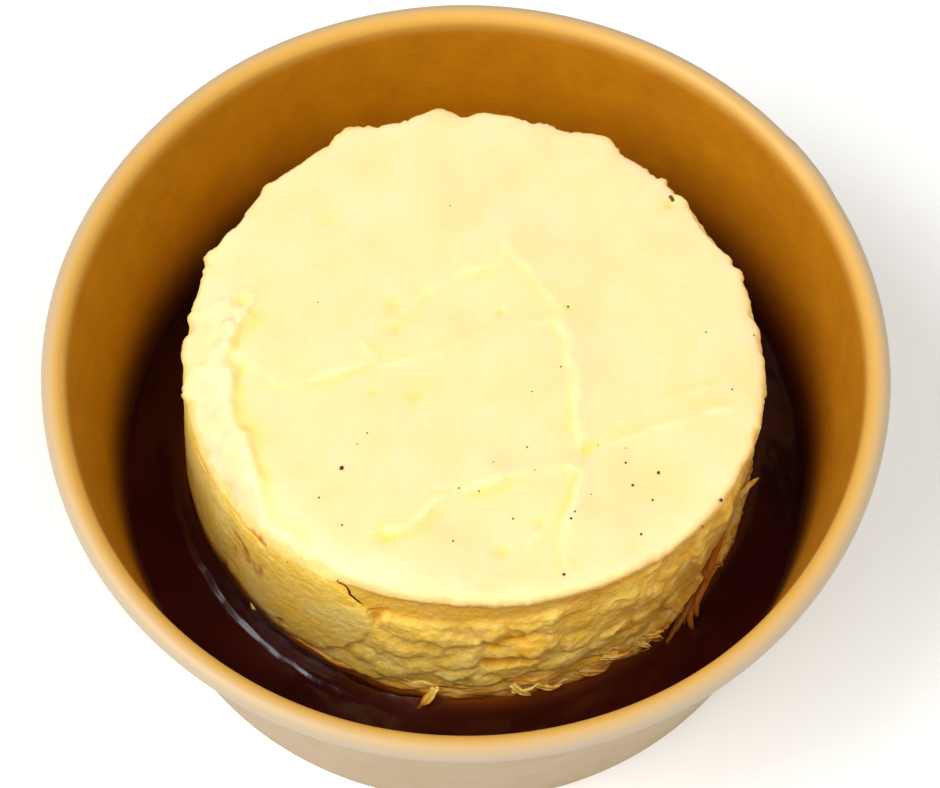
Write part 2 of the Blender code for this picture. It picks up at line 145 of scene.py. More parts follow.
# The crack in the side and the piece that broke out beside it: angle in degrees and height in
# millimetres of their corners. The mash's grid is drawn together round the crack.
FISSURE_ANGLE, FISSURE_SPREAD = -113.5, 7.0
FISSURE = (
    (-118.2, 51.7), (-116.7, 50.1), (-116.2, 49.9), (-115.0, 48.2), (-114.6, 47.2), (-112.8, 45.5),
    (-111.1, 43.6),
)
TRIANGLE = ((-111.1, 43.4), (-106.0, 45.8), (-109.0, 38.0))
# The distance that points far from the crack are given, in millimetres.
NOWHERE_NEAR = 9.0
# Hollows in the side, listed like the lumps.
CAVITIES = (
    (-82, 29.6, 5.4, 2.2, 2.2), (-84, 35.2, 2.6, 2.4, 0.7), (-80, 37.3, 2.8, 1.3, 0.7),
    (-129.3, 24.6, 1.4, 1.0, 1.3), (-60.5, 32.2, 2.2, 1.0, 0.6), (-57, 26.2, 3.0, 1.0, 0.6),
    (-137, 49.4, 2.6, 1.2, 0.35),
)
# The right edge of the pressed patch: height in millimetres and angle in degrees.
PATCH_EDGE = (
    (20, -121), (24, -118), (28, -114), (34, -110.5), (38.6, -109.4), (44.6, -112.2), (50.7, -117.2),
)

# The top's ragged edge: angle and half width in degrees, and how far it stands out.
EDGE_TEETH = (
    (118, 4, 2.8 * MM), (98, 3, 1.6 * MM), (61, 4, 1.9 * MM), (30, 5, -1.9 * MM),
    (180, 3, 1.3 * MM), (160, 3, 1.4 * MM), (-171, 2, 1.1 * MM), (139, 2, 0.8 * MM),
    (39, 2, 0.9 * MM), (78, 2, -0.8 * MM), (22, 1.5, 0.8 * MM), (8, 2, -0.6 * MM),
)
# Crumbs along that edge: how far apart they lie, and how far they stand out.
EDGE_CRUMBS = ((2.6 * MM, 0.6 * MM), (1.3 * MM, 0.36 * MM))

# Marks of the palette knife: a path in millimetres, the crest's height, and how far it
# reaches on its gentle and on its steep side. The steep side is on the path's right.
KNIFE_MARKS = (
    (
        ((6.8, 24.8), (12.7, 18.1), (16.1, 12.1), (18.2, 4.3), (19.9, -3.6), (19.9, -12.9)),
        0.34, 2.2, 0.8,
    ),
    (((-14, 8), (-11.8, 10.1), (-7.8, 14.5), (-0.9, 18.8), (5.7, 20.8), (7.5, 25)), 0.28, 2.6, 0.9),
    (((16, 9.2), (14.3, 8.7), (2.7, 6.6), (-2.7, 3.0), (-15.4, -0.7), (-18.6, 4.1)), 0.24, 3.0, 1.0),
    (((-42.2, 2.1), (-32.6, -4.3), (-26.2, -3.0), (-17.2, 0.7)), 0.34, 2.8, 1.0),
    (((-13.5, -32.7), (-9.4, -31.7), (-6.0, -28.3), (-2.4, -25.5), (6.1, -22.7)), 0.62, 4.0, 0.6),
    (((-4.3, -24.3), (7.4, -21.5), (14.5, -21.1), (18.6, -20.3)), 0.26, 2.0, 0.8),
    (((18.2, 4.3), (19.9, -9.0), (20.2, -16.8), (18.6, -20.3)), 0.40, 3.2, 0.8),
    (
        ((18.8, -20.6), (21.0, -21.0), (20.1, -24.1), (18.5, -29.1), (17.2, -32.6), (17.5, -38)),
        0.50, 3.0, 0.7,
    ),
    (((10.6, -37.5), (11.2, -34.6), (13.4, -32.7)), 0.24, 1.6, 0.7),
    (((51, -6.5), (44.1, -9.1), (34.9, -11.8), (29.2, -14.2), (24.3, -15.8)), 0.26, 1.6, 0.9),
    (((43.2, -4.0), (35.1, -7.8)), 0.22, 1.4, 0.8),
)
# The lip that the knife pushed up along the left of the top, by its inner edge.
LIP_EDGE = (
    (-40.2, 9.6), (-42.8, 4.0), (-43.9, -0.2), (-41.8, -1.6), (-42.4, -7.2), (-40.4, -13.9),
    (-38.8, -14.6), (-37.3, -20.0), (-35.0, -29.7), (-28.6, -35.2),
)
# How high it is in millimetres, and how far it reaches outwards and inwards.
LIP_HEIGHT = 1.05
LIP_REACH = (3.6, 1.1)

# Shallow scoops between the marks: place, half width, half depth and depth in millimetres.
SCOOPS = (
    (2.5, 13.0, 12.0, 6.0, 0.34), (-31.0, -12.0, 9.0, 10.0, 0.30), (29.0, -20.0, 9.0, 8.0, 0.32),
    (4.0, -30.0, 10.0, 5.5, 0.30), (-33.0, 10.0, 8.0, 7.0, 0.28), (30.0, 6.0, 9.0, 14.0, 0.22),
)
# Small dents and pricks in the top: place, half width and depth in millimetres.
DENTS = (
    (6.1, 10.9, 0.8, 0.35), (16.4, 11.4, 0.7, 0.2), (18.5, 12.1, 0.6, 0.3), (37.9, 34.2, 1.2, 0.7),
    (-13.6, 11.9, 1.6, 0.3), (-7.8, 14.4, 1.6, 0.25), (-12.4, 7.0, 1.2, 0.2), (-9.0, -6.2, 1.4, 0.3),
    (-16.4, -5.6, 0.9, 0.3), (-13.6, -33.4, 2.0, 0.5), (21.4, -16.6, 1.6, 0.5), (23.0, -15.4, 1.4, 0.3),
    (-40.6, -1.8, 1.6, 0.5), (-40.9, 12.4, 1.3, 0.5), (-33.8, -29.2, 1.0, 0.4), (6.4, -36.0, 1.4, 0.3),
    (29.6, -35.4, 1.4, 0.2), (36.2, -31.4, 1.8, 0.25), (13.0, -30.4, 1.0, 0.3), (-26.0, 30.0, 1.8, 0.2),
)
# The shoulder where the top was pushed over the side, and the rounding of the whole edge.
SHOULDER_ANGLE, SHOULDER_SPREAD, SHOULDER_DROP = -150, 34, 3.0 * MM
EDGE_ROUND = 1.5 * MM

# The vector noise takes its seed from the time unless it is given one.
NOISE_SEED = 3
noise.seed_set(NOISE_SEED)
# Seeds of the fine shreds: for where they lie, and for how they fray, past the loose ones'.
FINE_SHREDS_SEED, FINE_FRAY_SEED = 5, 40
THYME_SEED = 5

# Gap between pieces that lie against each other.
CLEARANCE = 0.3 * MM
# The glued overlap of the wall: where it ends, how wide it is, and after how many widths it
# has tapered off.
SEAM_ANGLE, SEAM_WIDTH, SEAM_TAPER = math.radians(36), math.radians(7), 1.6
# How far the board's surface waves.
WALL_WAVE = 0.22 * MM
# Folds sharper than this many degrees are shaded as edges.
BOARD_EDGE, SPECK_EDGE = 40, 30

# How finely the pieces are divided: squares across the mash's top and rows down its side, and
# the columns and rows of the turned pieces.
TOP_CELLS, SIDE_ROWS = 200, 68
CHICKEN_COLUMNS, CHICKEN_ROWS = 720, 24
GRAVY_COLUMNS, GRAVY_ROWS = 640, 44
WALL_COLUMNS, WALL_ROWS, CURL_ROWS = 240, 24, 26
FLOOR_COLUMNS, FLOOR_ROWS = 120, 8

# Specks of ground pepper: places on the top in millimetres, and their size in tenths.
PEPPER = (
    (-21.5, -20.7, 9), (-17.3, -13.8, 4), (-19, -16, 3), (-25.3, -26.4, 4), (-21.1, -31.5, 4),
    (-1, -24.3, 4), (2.5, -24.8, 4), (-1.9, -34.3, 4), (11.8, -5.5, 4), (10.9, -16.3, 4),
    (23.4, -15.6, 3), (28.2, -19, 5), (28.3, -16.1, 3), (33.9, -20.9, 7), (29.3, -23.3, 6),
    (32.7, -26.1, 5), (19.1, -28.9, 4), (18.4, -30.2, 6), (8.4, -29.9, 4), (30.5, -32.7, 5),
    (17.1, -40.2, 7), (41.2, -30.9, 4), (44.6, -26, 7), (47.5, -4.7, 4), (52.0, 6.8, 6),
    (43.3, 6.8, 4), (17, -0.4, 4), (18.5, 12.1, 5), (-30.2, -38.4, 3), (-3.2, 33.0, 3),
    (-27.0, 12.5, 3), (12.2, -20.8, 3), (22.0, -25.4, 3), (5.0, -19.4, 3),
)

# The fleck of thyme at the back of the top: its place and its two lumps in millimetres.
THYME = (38.3, 35.2)
THYME_LUMPS = ((0, 0, 0), (-0.35, 0.5, 0.1))
THYME_SIZE = 0.42 * MM

# Strands of chicken that come away from the side: width and thickness in millimetres, how
# wet they are, and a path of angle in degrees, height and distance from the food's middle.
LOOSE_SHREDS = (
    (2.7, 1.5, 0.6, (
        (-28, 26.0, 53.4), (-34.3, 24.3, 54.8), (-37.0, 21.8, 55.6), (-40.5, 19.6, 56.3),
        (-41.9, 18.0, 57.4), (-42.3, 15.6, 58.4),
    )),
    (1.9, 1.1, 0.65, (
        (-38.5, 21.0, 54.6), (-41.6, 19.0, 55.6), (-44.4, 17.6, 56.2), (-46.8, 16.4, 56.6),
        (-49.4, 15.5, 57.3),
    )),
    (3.2, 0.5, 0.85, ((-40.0, 19.8, 54.8), (-43.0, 17.6, 56.0), (-44.8, 15.6, 57.2))),
    (0.9, 0.7, 0.0, (
        (-55.6, 21.2, 54.4), (-53.6, 19.6, 55.4), (-52.3, 17.9, 55.9), (-52.0, 16.8, 56.0),
        (-53.0, 16.6, 55.7), (-54.6, 17.8, 55.2),
    )),
    (1.5, 1.0, 0.1, ((-53.0, 20.8, 54.4), (-50.8, 20.2, 55.4), (-49.2, 19.4, 56.2))),
    (1.5, 1.0, 0.5, ((-51.6, 18.9, 54.6), (-50.0, 17.6, 55.6), (-48.6, 16.2, 56.2))),
    (1.9, 1.2, 0.0, (
        (-95.7, 20.6, 53.6), (-96.4, 18.6, 54.8), (-97.4, 17.0, 55.8), (-98.3, 15.6, 56.7),
    )),
    (1.3, 0.7, 0.0, ((-80.8, 21.6, 54.0), (-79.0, 19.4, 55.0), (-76.6, 17.2, 55.2))),
    (1.0, 0.6, 0.0, ((-80.4, 18.2, 54.2), (-77.8, 20.4, 55.1), (-75.8, 22.2, 54.8))),
    (1.3, 0.7, 0.1, ((-76.0, 19.6, 54.2), (-73.4, 18.2, 55.1), (-70.6, 17.2, 54.8))),
    (1.5, 0.8, 0.3, ((-67.6, 20.0, 54.2), (-64.6, 18.4, 55.2), (-61.8, 16.8, 55.4))),
    (1.2, 0.8, 0.1, ((-62.6, 22.0, 54.2), (-59.4, 20.6, 55.3), (-56.4, 19.4, 55.2))),
    (1.3, 0.8, 0.4, ((-33.5, 21.8, 54.4), (-31.0, 19.8, 55.6), (-29.6, 17.4, 56.0))),
    (1.2, 0.8, 0.0, ((-17.0, 22.8, 54.2), (-14.8, 24.0, 55.4), (-13.0, 24.3, 56.8))),
    (0.6, 0.5, 0.0, ((-137.3, 19.0, 54.1), (-136.3, 18.7, 54.7), (-135.3, 19.3, 54.6))),
)
# How many thinner strands each is drawn as, and the rows and sides of one of those.
STRANDS = 2
SHRED_ROWS, SHRED_SIDES = 14, 6

# Marks of the mash that its material reads from the mesh, beside soak. The burrs carry a
# painted highlight; hollow, side, crease and the crack carry painted shade.
MASH_MARKS = ("burr_highlight", "hollow", "side", "crease", "brown", "off_crack", "torn")
# Fibres of the kraft board: the way they lie in degrees, and the size of their pattern. Real
# ones are 0.03 mm thick; these are 0.25 mm, so that they show.
FIBRES = ((24, 2.2 * MM), (-35, 2.6 * MM))
FIBRE_STRETCH = 9.0

# The camera: its angles, what it looks at, how far it stands off and its lens in millimetres.
CAMERA_ELEVATION, CAMERA_ROLL = math.radians(63.385), math.radians(0.484)
CAMERA_TARGET = Vector((0.785, -9.481, 60.0)) * MM
CAMERA_DISTANCE = 374.91 * MM
CAMERA_LENS, CAMERA_SENSOR = 82.36, 36
CAMERA_NEAR = 0.01

# The soft lights: name, place and size in metres, share of the main light's power, colour, and
# whether the gravy's gloss mirrors it.
LIGHTS = (
    ("left", (-0.95, -0.60, 1.05), 0.9, 1.0, (1, 1, 1), True),
    ("right", (0.62, -0.50, 1.25), 0.9, 1.0, (1, 1, 1), False),
    ("window", (-0.44, -0.09, 0.80), 0.34, 0.3, (0.93, 0.96, 1.0), True),
)
LIGHT_TARGET = Vector((0, 0, 0.04))
STAGE_FLOOR = 1.6
# How bright the white surroundings are in a gloss, beside how bright they are elsewhere.
FILL_IN_GLOSS = 0.06


# Plain geometry


def bump(value, middle, spread):
    """A smooth hill from 0 to 1."""
    return math.exp(-(((value - middle) / spread) ** 2))


def ramp(value, low, high):
    """A smooth rise from 0 at low to 1 at high."""
    share = min(max((value - low) / (high - low), 0), 1)
    return share * share * (3 - 2 * share)


def turn_between(turn, middle):
    """The angle in degrees from one direction to another, the short way round."""
    return (turn - middle + 180) % 360 - 180


def facing(turn, middle, spread):
    """A smooth hill from 0 to 1 round the food, highest in one direction. All in degrees."""
    return bump(turn_between(turn, middle), 0, spread)


def towards(angle, lift=0.0):
    """A step of 1 out from the middle in a direction in radians, with a lift."""
    return Vector((math.cos(angle), math.sin(angle), lift))


def side_of_path(spot, path):
    """How far a point is from a path, and the side of the path that it is on: 1 is right."""
    nearest, side = 1e9, 1
    for start, end in zip(path, path[1:]):
        along = end - start
        share = min(max((spot - start).dot(along) / along.length_squared, 0), 1)
        off = spot - start - along * share
        if off.length < nearest:
            nearest = off.length
            side = 1 if off.x * along.y - off.y * along.x >= 0 else -1
    return nearest, side


def as_path(points):
    """A path of vectors from points written as numbers."""
    return [Vector(point) for point in points]


def on_side(points):
    """A path unrolled from the food's side, in millimetres, from angles and heights."""
    return [Vector((turn * ARC_OF_DEGREE, height)) for turn, height in points]


# The food's shape


def by_direction(lumps):
    """Lumps listed for each degree that they touch, so that a point looks at few of them."""
    listed = [[] for _ in range(360)]
    for lump in lumps:
        half = int(lump[2] * LUMP_REACH / ARC_OF_DEGREE) + 2
        for step in range(-half, half + 1):
            listed[int(lump[0] + step) % 360].append(lump)
    return listed


LUMPS_AT = by_direction(FRONT_LUMPS)
BRUISES_AT = by_direction(BRUISES)
CAVITIES_AT = by_direction(CAVITIES)
FISSURE_PATH = on_side(FISSURE)
TRIANGLE_CORNERS = on_side(TRIANGLE)
KNIFE_PATHS = [(as_path(path), *sizes) for path, *sizes in KNIFE_MARKS]
LIP_PATH = as_path(LIP_EDGE)


def standing(turn, height, lumps):
    """The highest of the lumps over a point of the side, in millimetres: soft above and
    broken off short below."""
    best = 0.0
    for middle, level, wide, tall, stand in lumps:
        across = turn_between(turn, middle) * ARC_OF_DEGREE / wide
        along = (height - level) / tall
        if along < 0:
            along *= LUMP_UNDERCUT
        inside = 1 - across * across - along * along
        if inside > 0:
            best = max(best, stand * inside ** LUMP_ROUNDNESS)
    return best


def crumbs(spot, size):
    """Rounded lumps packed side by side, no two alike: 0 in the gaps, up to 1 on a lump."""
    near, places = noise.voronoi(spot / size)
    stand = 0.6 + 0.4 * noise.cell(places[0])
    return stand * ramp(near[1] - near[0], 0.0, 0.5) * (1 - 0.6 * min(near[0], 1) ** 2)


def flakes(spot, size):
    """Torn flakes packed side by side, each set in or out and leaning its own way, so that
    some run together and some break off sharp: how far out, and how deep in a crease."""
    near, places = noise.voronoi(spot / size)
    levels = []
    for place in places[:2]:
        off = spot / size - place
        lean = noise.cell_vector(place * 3) - Vector((0.5, 0.5, 0.5))
        level = 0.7 * noise.cell(place) - FLAKE_LEAN * (0.6 + lean.z) * off.z
        levels.append(level + lean.x * off.x + lean.y * off.y)
    gap = near[1] - near[0]
    sharp = ramp(noise.noise(spot / size * 0.9 + Vector((7, 7, 7))), 0.05, 0.45)
    own = 0.5 + 0.5 * ramp(gap, 0.0, 0.8 - 0.66 * sharp)
    crease = (0.1 + 0.9 * sharp) * math.exp(-((gap / 0.13) ** 2))
    return levels[0] * own + levels[1] * (1 - own) - FLAKE_CREASE * crease, crease


def patch_share(turn, height):
    """1 on the patch that was pressed flat, which ends in a step along its right side."""
    edge = PATCH_EDGE[0][1]
    for (low, low_turn), (high, high_turn) in zip(PATCH_EDGE, PATCH_EDGE[1:]):
        if height > low:
            edge = low_turn + (high_turn - low_turn) * ramp(height, low, high)
    return ramp(edge - turn, -0.6, 0.5) * ramp(turn, -146, -139) * ramp(height, 19, 24)


def calm_share(turn, height):
    """How smooth the mash is: most on its left, least at the right of the front."""
    left = math.exp(-((turn_between(turn, CALM_ANGLE) / CALM_SPREAD) ** 4))
    return max(left * 0.85, 0.35 * bump(turn, -120, 40), 0.9 * patch_share(turn, height))


def band_share(turn, height):
    """1 in the smooth hollow band just under the front of the top's edge."""
    low = 43.2 + ramp(turn, -104, -28) * 7.5
    arc = ramp(turn, -118, -106) * (1 - ramp(turn, -34, -22))
    return arc * ramp(height, low - 0.8, low + 1.2) * (1 - ramp(height, 50.6, 51.8))


def in_triangle(spot):
    """How deep a point of the unrolled side is inside the broken-out triangle, from 0 to 1."""
    inside = 1.0
    middle = sum(TRIANGLE_CORNERS, Vector((0, 0))) / 3
    for start, end in zip(TRIANGLE_CORNERS, TRIANGLE_CORNERS[1:] + TRIANGLE_CORNERS[:1]):
        edge = end - start
        normal = Vector((-edge.y, edge.x)).normalized()
        if normal.dot(middle - start) < 0:
            normal = -normal
        inside = min(inside, ramp(normal.dot(spot - start), -0.1, 0.7))
    return inside


def crack_detail(turn, height):
    """How far a point of the side is from the crack or the torn top of the triangle, signed by
    its side, how open the crack is there, and how deep its groove and the triangle are."""
    if not -122 < turn < -102:
        return NOWHERE_NEAR, 0.0, 0.0, 0.0
    spot = Vector((turn * ARC_OF_DEGREE, height))
    off, side = side_of_path(spot, FISSURE_PATH)
    torn = ramp(height, 42.5, 46.5) * (1 - ramp(height, 50.6, 51.7))
    groove = math.exp(-((off / 0.75) ** 2)) * torn
    off_crack = off * side
    top_off, top_side = side_of_path(spot, TRIANGLE_CORNERS[:2])
    if top_off < off:
        off_crack = top_off * top_side
        torn = 0.5 * ramp(turn, -111.4, -110.4) * (1 - ramp(turn, -108.5, -105.5))
    return off_crack, torn, groove, in_triangle(spot)


def side_detail(turn, height):
    """How far the side stands out at a point in millimetres, and the marks that colour it:
    how deep it is in a crease, painted as shade, how brown, how far it is from the crack and
    how open that is."""
    turn = turn_between(turn, 0)
    spot = towards(math.radians(turn)) * FOOD_FOOT_RADIUS
    spot.z = height * MM * FLATNESS
    wander = noise.noise_vector(spot / (4.6 * MM)) * 1.9 * MM
    wander += noise.noise_vector(spot / (1.6 * MM)) * 0.6 * MM
    warped = spot + wander
    warped_turn = turn + (wander.x + wander.y) / MM / ARC_OF_DEGREE
    warped_height = height + wander.z / MM
    here = int(turn) % 360
    calm = calm_share(turn, height)
    band = band_share(turn, height)
    rough = (1 - calm) * (1 - 0.85 * band)
    swell = noise.noise(spot / SWELL_SIZE) * SWELL_DEPTH / MM
    body = standing(warped_turn, warped_height, LUMPS_AT[here]) * 0.65 - 0.25
    body += sum(noise.noise(warped / size) * stand for size, stand in MOUNDS)
    crease = 0.0
    for size, stand in zip(FLAKE_SIZES, FLAKE_STANDS):
        level, edge = flakes(warped, size)
        body += level * stand
        crease = max(crease, edge * (0.35 + stand))
    pits = standing(warped_turn, warped_height, CAVITIES_AT[here])
    brown = standing(warped_turn, warped_height, BRUISES_AT[here])
    brown *= 0.6 + 1.2 * noise.noise(warped / (1.8 * MM))
    grain = noise.noise(spot / (1.6 * MM)) * 0.10 + noise.noise(spot / (0.8 * MM)) * 0.05
    off_crack, torn, groove, gap = crack_detail(turn, height)
    rough *= 1 - 0.9 * gap
    out = swell * (1 - 0.75 * calm) * (1 - 0.5 * band) + body * rough - pits - 0.4 * groove - 1.1 * gap
    out += grain * (0.25 + 0.75 * rough) - 0.8 * band + 0.35 * patch_share(turn, height)
    # Painted shade: low places, pits, the band under the top's edge, the groove and the broken-out
    # triangle take the crease colour. Deep pits are also painted brown.
    low = 1 - ramp(body, -1.2, 0.4)
    crease = max(crease, low * 0.9) * 0.5 * rough + ramp(pits, 0.15, 0.8) * 0.75 + 0.5 * band
    crease = max(crease, gap * 0.85, groove * 0.4)
    brown = max(brown, gap * 0.1, 0.45 * ramp(pits, 0.8, 2.0))
    brown = min(max(brown, 0), 1)
    return out, {"crease": min(crease, 1), "brown": brown, "off_crack": off_crack, "torn": torn}


def edge_relief(angle):
    """How far the ragged edge of the top stands out of its plain outline."""
    spot = towards(angle) * FOOD_TOP_RADIUS
    turn = math.degrees(angle)
    smooth_front = ramp(turn_between(turn, -122), 0, 12) * (1 - ramp(turn_between(turn, -30), 0, 25))
    patchy = ramp(noise.noise(spot / (7 * MM) + Vector((4, 4, 4))), -0.3, 0.3)
    ragged = (1 - 0.7 * smooth_front) * (0.2 + 0.9 * patchy)
    out = noise.noise(spot / (4.2 * MM)) * 1.1 * MM - 0.5 * MM
    for size, stand in EDGE_CRUMBS:
        out += crumbs(spot + Vector((0, 0, size)), size) * stand * 1.6
    out *= ragged
    for middle, spread, depth in EDGE_TEETH:
        out += facing(turn, middle, spread) * depth
    return out


def rise_of(height):
    """How far up the food a height is, from 0 at the gravy to 1 at the top."""
    return min(max(height - GRAVY_LEVEL, 0) / (FOOD_HEIGHT - GRAVY_LEVEL), 1)


def plain_radius(angle, height):
    """The side's smooth outline, from the wider foot to the top."""
    top = FOOD_TOP_RADIUS + 1.1 * MM * math.cos(2 * angle) - 0.7 * MM * math.sin(2 * angle)
    top -= 0.6 * MM * math.sin(3 * angle)
    return FOOD_FOOT_RADIUS + (top - FOOD_FOOT_RADIUS) * rise_of(height)


def food_centre(height):
    """The centre line of the food, which leans a little."""
    return Vector((FOOD_TOP_LEAN_X * rise_of(height), FOOD_CENTRE_Y, height))


def from_middle(angle, height, radius):
    """A point at a height and a distance from the food's centre line."""
    return food_centre(height) + towards(angle) * radius


def side_point(angle, height):
    """A point of the potato's side, and the marks that colour it."""
    out, marks = side_detail(math.degrees(angle), height / MM)
    near_edge = bump(height, FOOD_HEIGHT, 2.2 * MM)
    out = out * MM * (1 - near_edge) + edge_relief(angle) * near_edge
    point = from_middle(angle, height, plain_radius(angle, height) + out)
    point.z -= LUMP_DROOP * max(out, 0) * (1 - near_edge)
    marks["crease"] *= 1 - near_edge
    return point, marks


def soaked_share(angle, height):
    """How far gravy has soaked into a point of the food's foot: highest at the front left."""
    left = facing(math.degrees(angle), SOAK_ANGLE, SOAK_SPREAD)
    wave = noise.noise(towards(angle) * 9) * 1.3 * MM
    start = GRAVY_LEVEL + (3.0 * left - 0.6) * MM + wave
    return 1 - ramp(height, start, start + (2.8 + 3.8 * left) * MM)


def join_height(angle, share=1.0):
    """The height of the layer of chicken under the potato."""
    turn = math.degrees(angle)
    rise = facing(turn, JOIN_RISE_ANGLE, JOIN_RISE_SPREAD) * JOIN_RISE
    dip = facing(turn, JOIN_DIP_ANGLE, JOIN_DIP_SPREAD) * JOIN_DIP
    wave = noise.noise(towards(angle, 0.7) * 3.1) * 1.1 * MM
    ragged = noise.noise(towards(angle) * 24) * 1.1 * MM
    return JOIN_HEIGHT + (rise - dip + wave + ragged) * share ** 2


def sag(angle, share):
    """How far the top sags at its edge: most at the shoulder, where it was pushed over the
    side, and unevenly all round."""
    pushed = facing(math.degrees(angle), SHOULDER_ANGLE, SHOULDER_SPREAD)
    around = towards(angle, 2)
    uneven = 0.3 + max(noise.noise(around * 5.5), -0.25) + 0.35 * noise.noise(around * 14)
    drop = SHOULDER_DROP * pushed * bump(share, 1, 0.07)
    return drop + uneven * MM * bump(share, 1, 0.045)


def top_detail(x, y):
    """The top's height over its level, how burred and how hollow it is. The burrs carry a
    painted highlight and the hollows a painted shade. All in millimetres.
    """
    spot = Vector((x, y))
    deep = Vector((x, y, 0))
    spot += Vector((noise.noise(deep / 3.5), noise.noise(deep / 3.5 + Vector((5, 9, 2))))) * 0.5
    height = noise.noise(deep / 19) * 0.7 + noise.noise(deep / 7 + Vector((3, 1, 8))) * 0.16
    burr_highlight = hollow = 0.0
    for path, crest, gentle, steep in KNIFE_PATHS:
        off, side = side_of_path(spot, path)
        if off > 14:
            continue
        ridge = math.exp(-off / gentle) if side < 0 else math.exp(-((off / steep) ** 2))
        uneven = max(0.62 + 0.95 * noise.noise(deep / 5 + Vector((crest * 40, 0, 0))), 0.1)
        height += crest * ridge * uneven
        # Painted highlight: the crest of each knife mark is painted paler, over the real burr.
        burr_highlight = max(burr_highlight, math.exp(-((off / 0.8) ** 2)) * uneven * min(crest * 0.8, 0.45))
        # Painted shade: the steep side of each mark, its shaded side, is marked hollow and painted a
        # deeper yellow.
        if side > 0:
            hollow = max(hollow, bump(off, 1.2, 1.3) * crest * 1.1 * uneven)
    off, side = side_of_path(spot, LIP_PATH)
    outside = side > 0 and x < -20
    reach = LIP_REACH[0] if outside else LIP_REACH[1]
    lump = noise.noise(deep / 3.4 + Vector((0, 0, 9)))
    lip = math.exp(-((off / (reach * (1 + 0.5 * lump))) ** 2)) * LIP_HEIGHT * (0.75 + 0.8 * lump)
    height += lip
    if outside:
        crumb = crumbs(deep / 1000 + Vector((0, 0, 1)), 2.6 * MM)
        height += 0.7 * crumb * math.exp(-((off / 6) ** 2))
    burr_highlight = max(burr_highlight, lip * 0.4)
    # Painted shade along the lip's inner step.
    if not outside:
        hollow = max(hollow, bump(off, 1.4, 1.4) * (0.7 + 0.6 * lump))
    # Scoops and dents are painted a deeper yellow too, as painted shade.
    for place_x, place_y, wide, tall, depth in SCOOPS:
        reach = ((x - place_x) / wide) ** 2 + ((y - place_y) / tall) ** 2
        height -= depth * math.exp(-(reach ** 1.5))
        hollow += 0.25 * depth * math.exp(-reach)
    for place_x, place_y, wide, depth in DENTS:
        reach = (spot - Vector((place_x, place_y))).length / wide
        if reach < 3:
            height -= depth * math.exp(-reach * reach)
            hollow = max(hollow, 2.0 * depth * math.exp(-reach * reach))
    height += noise.noise(deep / 1.7) * 0.05 + noise.noise(deep / 0.9) * 0.025
    return height, min(burr_highlight, 1), min(hollow, 1)


def edge_paleness(angle):
    """How much paler the top's edge is painted: most where it faces the eater."""
    turn = math.degrees(angle)
    front = ramp(turn_between(turn, -150), 0, 30) * (1 - ramp(turn_between(turn, -40), 0, 30))
    patchy = noise.noise(towards(angle) * 7)
    return (0.12 + 0.14 * front) * (1 + 0.5 * patchy)


def on_disc(across, along):
    """A square's point spread over a disc without crowding: its angle and its share outwards.
    The points lie closer together round the fissure's direction."""
    if abs(across) < 1e-9 and abs(along) < 1e-9:
        return 0.0, 0.0
    if abs(across) > abs(along):
        share, angle = across, math.pi / 4 * along / across
    else:
        share, angle = along, math.pi / 2 - math.pi / 4 * across / along
    if share < 0:
        share, angle = -share, angle + math.pi
    away = turn_between(math.degrees(angle), FISSURE_ANGLE) / FISSURE_SPREAD
    return angle - math.radians(0.55 * FISSURE_SPREAD * away * math.exp(-away * away)), share


def top_point(angle, share):
    """A point of the smeared top, with its burr's painted highlight and its hollow's painted shade."""
    reach = plain_radius(angle, FOOD_HEIGHT) * share + edge_relief(angle) * ramp(share, 0.955, 1.0)
    point = from_middle(angle, FOOD_HEIGHT, reach)
    height, burr_highlight, hollow = top_detail(point.x / MM, point.y / MM)
    to_edge = (1 - share) * FOOD_TOP_RADIUS
    rounding = 0.0
    if to_edge < EDGE_ROUND:
        rounding = EDGE_ROUND - math.sqrt(EDGE_ROUND ** 2 - (EDGE_ROUND - to_edge) ** 2)
    edge = bump(to_edge, 0, 3.5 * MM)
    point.z = FOOD_HEIGHT + height * MM * (1 - 0.5 * edge) - rounding - sag(angle, share)
    return point, burr_highlight, hollow, edge


# Meshes


def stored(name, mesh):
    """The mesh data of a bmesh, which is freed."""
    data = bpy.data.meshes.new(name)
    mesh.to_mesh(data)
    mesh.free()
    return data


def finished(name, mesh, material, flat_above=180):
    """The object of a bmesh at the origin, smooth-shaded, riding on the body."""
    bmesh.ops.recalc_face_normals(mesh, faces=mesh.faces)
    data = stored(name, mesh)
    data.shade_smooth()
    if flat_above < 180:
        data.set_sharp_from_angle(angle=math.radians(flat_above))
    data.materials.append(material)
    piece = bpy.data.objects.new(name, data)
    bpy.context.scene.collection.objects.link(piece)
    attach(piece, "root")
    return piece


def drawn_out(mesh, edges):
    """Extrudes a ring of edges once, and returns the new ring's points and edges."""
    made = bmesh.ops.extrude_edge_only(mesh, edges=edges)["geom"]
    ring = [part for part in made if isinstance(part, bmesh.types.BMVert)]
    here = set(ring)
    return ring, [
        part for part in made if isinstance(part, bmesh.types.BMEdge) and here.issuperset(part.verts)
    ]


def drawn_shut(mesh, edges):
    """Closes a ring of edges with a fan of faces to its middle."""
    ring, _ = drawn_out(mesh, edges)
    middle = sum((vert.co for vert in ring), Vector()) / len(ring)
    bmesh.ops.pointmerge(mesh, verts=ring, merge_co=middle)


def start_ring(mesh, columns):
    """A ring of points that remember their angle in the layer called turn."""
    turn = mesh.verts.layers.float["turn"]
    ring = bmesh.ops.create_circle(mesh, segments=columns, radius=1)["verts"]
    for index, vert in enumerate(ring):
        vert[turn] = math.tau * index / columns
    return turn, ring


# Materials


